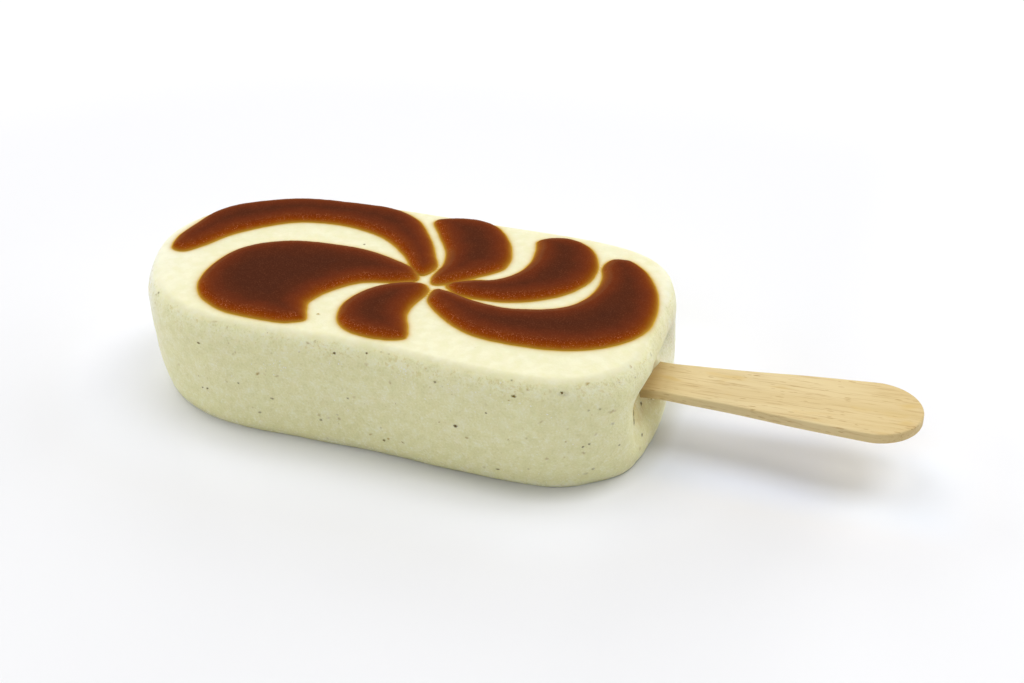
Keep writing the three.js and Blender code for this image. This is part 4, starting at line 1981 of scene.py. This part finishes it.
@dataclass
class Studio:
    """The pale floor, the soft lights and the camera.

    The floor's colour holds painted light and shade in bands around the bar's print, under the stick and
    beyond it, which are in millimetres: painted shade around the bar, a painted contact shadow at its foot,
    a painted shadow under the stick, painted light beyond that shadow, and a cool tint against the warm
    light that the bar bounces. Each lamp has its turn round the bar and its height, in degrees, and its
    watts.
    """

    floor_half: float = 4.0
    floor_roughness: float = 0.9
    floor_tone: tuple = linear(247, 247, 248)
    floor_near_shade: tuple = linear(242, 242, 244)
    near_shade_band: tuple = (170, 100)
    floor_lit_beyond: tuple = linear(246, 246, 248)
    lit_beyond_along: tuple = (50, 74)
    floor_cool_against_bounce: tuple = linear(247, 248, 253)
    cool_band: tuple = (22, 6)
    floor_shade: tuple = linear(236, 241, 254)
    floor_shadow_tip: tuple = linear(244, 248, 255)
    shadow_tip_along: tuple = (56, 69)
    shade_along: tuple = (20, 35)
    shade_end: tuple = (92, 78)
    shade_middle: float = -4
    shade_across: tuple = (16, 7)
    floor_contact_shadow: tuple = linear(190, 190, 184)
    contact_shadow_band: tuple = (4, -1)
    contact_shadow_along: tuple = (-50, 20)
    contact_shadow_share: float = 0.55
    print_middle: tuple = (-23.6, 0.0, 0.0)
    print_half: tuple = (31.6, 5.4, 0.0)
    print_corner: float = 22
    sky: tuple = linear(247, 251, 255)
    sky_strength: float = 0.03
    lamp_distance: float = 4.0
    lamp_side: float = 2.2
    lamps: tuple = (
        (22, 67, 52),
        (157, 67, 41),
        (45, 45, 24),
        (270, 45, 40),
        (22, 20, 25),
        (67, 20, 26),
        (112, 20, 40),
        (157, 20, 42),
        (202, 20, 26),
    )
    lens: float = 46.87
    film_width: float = 36.0
    nearest_shown: float = 0.01
    azimuth: float = math.radians(18.78)
    elevation: float = math.radians(33.21)
    roll: float = math.radians(-0.16)
    camera_place: tuple = (0.06917, -0.2058, 0.15577)

    def floor_material(self) -> Material:
        """Makes the floor's matt paint.

        Returns:
            The material.
        """
        sketch, material = new_material("studio_floor")
        where = sketch.millimetres(sketch.here())
        place = sketch.axes(where)
        aside = sketch.vector("ABSOLUTE", sketch.vector("SUBTRACT", where, self.print_middle))
        beyond = sketch.vector("MAXIMUM", sketch.vector("SUBTRACT", aside, self.print_half))
        away = sketch.math("SUBTRACT", sketch.length(beyond), self.print_corner)
        beside = sketch.math("ABSOLUTE", sketch.math("SUBTRACT", place["Y"], self.shade_middle))
        under_stick = (
            sketch.rise(place["X"], *self.shade_along),
            sketch.rise(beside, *self.shade_across),
            sketch.rise(place["X"], *self.shade_end),
        )
        shade = sketch.paint(self.floor_shade, self.floor_shadow_tip, sketch.rise(place["X"], *self.shadow_tip_along))
        contact_shadow = (
            sketch.rise(away, *self.contact_shadow_band),
            sketch.rise(place["X"], *self.contact_shadow_along),
            self.contact_shadow_share,
        )
        # painted shade: the floor darker around the bar
        colour = sketch.paint(self.floor_tone, self.floor_near_shade, sketch.rise(away, *self.near_shade_band))
        # painted light: the floor lighter beyond the stick's shadow
        colour = sketch.paint(colour, self.floor_lit_beyond, sketch.rise(place["X"], *self.lit_beyond_along))
        # painted: a cool tint close round the bar against the warm light it bounces onto the floor
        colour = sketch.paint(colour, self.floor_cool_against_bounce, sketch.rise(away, *self.cool_band))
        # painted shadow under the stick, cooler and lighter towards its far end
        colour = sketch.paint(colour, shade, *under_stick)
        # painted contact shadow along the bar's foot, strongest on its right
        colour = sketch.paint(colour, self.floor_contact_shadow, *contact_shadow)
        close_material(sketch, colour, self.floor_roughness, 0.0)
        return material

    def floor(self) -> None:
        """Lays the floor."""
        half = self.floor_half
        mesh = bpy.data.meshes.new("studio_floor")
        corners = [(-half, -half, 0), (half, -half, 0), (half, half, 0), (-half, half, 0)]
        mesh.from_pydata(corners, [], [(0, 1, 2, 3)])
        mesh.materials.append(self.floor_material())
        link("studio_floor", mesh)

    def light_from_all_round(self) -> None:
        """Sets the even light of the sky."""
        world = bpy.data.worlds.new("studio_sky")
        world.use_nodes = True
        inputs = world.node_tree.nodes["Background"].inputs
        inputs["Color"].default_value = self.sky
        inputs["Strength"].default_value = self.sky_strength
        bpy.context.scene.world = world

    def softbox(self, azimuth: float, elevation: float, power: float) -> None:
        """Hangs a square soft light that faces the bar.

        Args:
            azimuth: Its turn around the bar from the X axis, in degrees.
            elevation: Its height over the floor, in degrees.
            power: Its power in watts.
        """
        turn, lift = math.radians(azimuth), math.radians(elevation)
        way = Vector((math.cos(lift) * math.cos(turn), math.cos(lift) * math.sin(turn), math.sin(lift)))
        name = f"softbox_{azimuth}_{elevation}"
        light = bpy.data.lights.new(name, "AREA")
        light.shape = "SQUARE"
        light.size = self.lamp_side
        light.energy = power
        lamp = link(name, light)
        lamp.location = way * self.lamp_distance
        lamp.rotation_euler = (-way).to_track_quat("-Z", "Y").to_euler()

    def camera(self) -> None:
        """Places the camera."""
        lens = bpy.data.cameras.new("camera")
        lens.lens = self.lens
        lens.sensor_width = self.film_width
        lens.clip_start = self.nearest_shown
        camera = link("camera", lens)
        turns = ((self.azimuth, "Z"), (math.pi / 2 - self.elevation, "X"), (self.roll, "Z"))
        placed = Matrix.Translation(self.camera_place)
        for angle, axis in turns:
            placed = placed @ Matrix.Rotation(angle, 4, axis)
        camera.matrix_world = placed
        bpy.context.scene.camera = camera

    def build(self) -> None:
        """Builds the studio."""
        self.floor()
        self.light_from_all_round()
        for azimuth, elevation, power in self.lamps:
            self.softbox(azimuth, elevation, power)
        self.camera()
        bpy.context.scene.view_settings.view_transform = "Standard"


def report(piece: Object) -> None:
    """Logs how large a finished piece's mesh is."""
    log.info("%s: %d faces", piece.name, len(piece.data.polygons))


def main() -> None:
    """Builds the bar's pieces in order, then the studio."""
    logging.basicConfig(level=logging.INFO, format="%(message)s")
    groups = Groups()

    body = IceCreamBody()
    cream = body.build(CreamFinish().material(groups))
    report(cream)

    petals = SaucePetals()
    petals.lie_on(cream)
    sauces, outlines = petals.build(SauceFinish().material(groups))
    body.stain(cream, outlines)
    for sauce in sauces:
        report(sauce)

    report(Stick().build(WoodFinish().material(groups)))

    skin = Skin(cream, outlines)
    for kind in (SEEDS, FLECKS, IceCrystals()):
        report(kind.build(skin, groups))

    Studio().build()


if __name__ == "__main__":
    main()
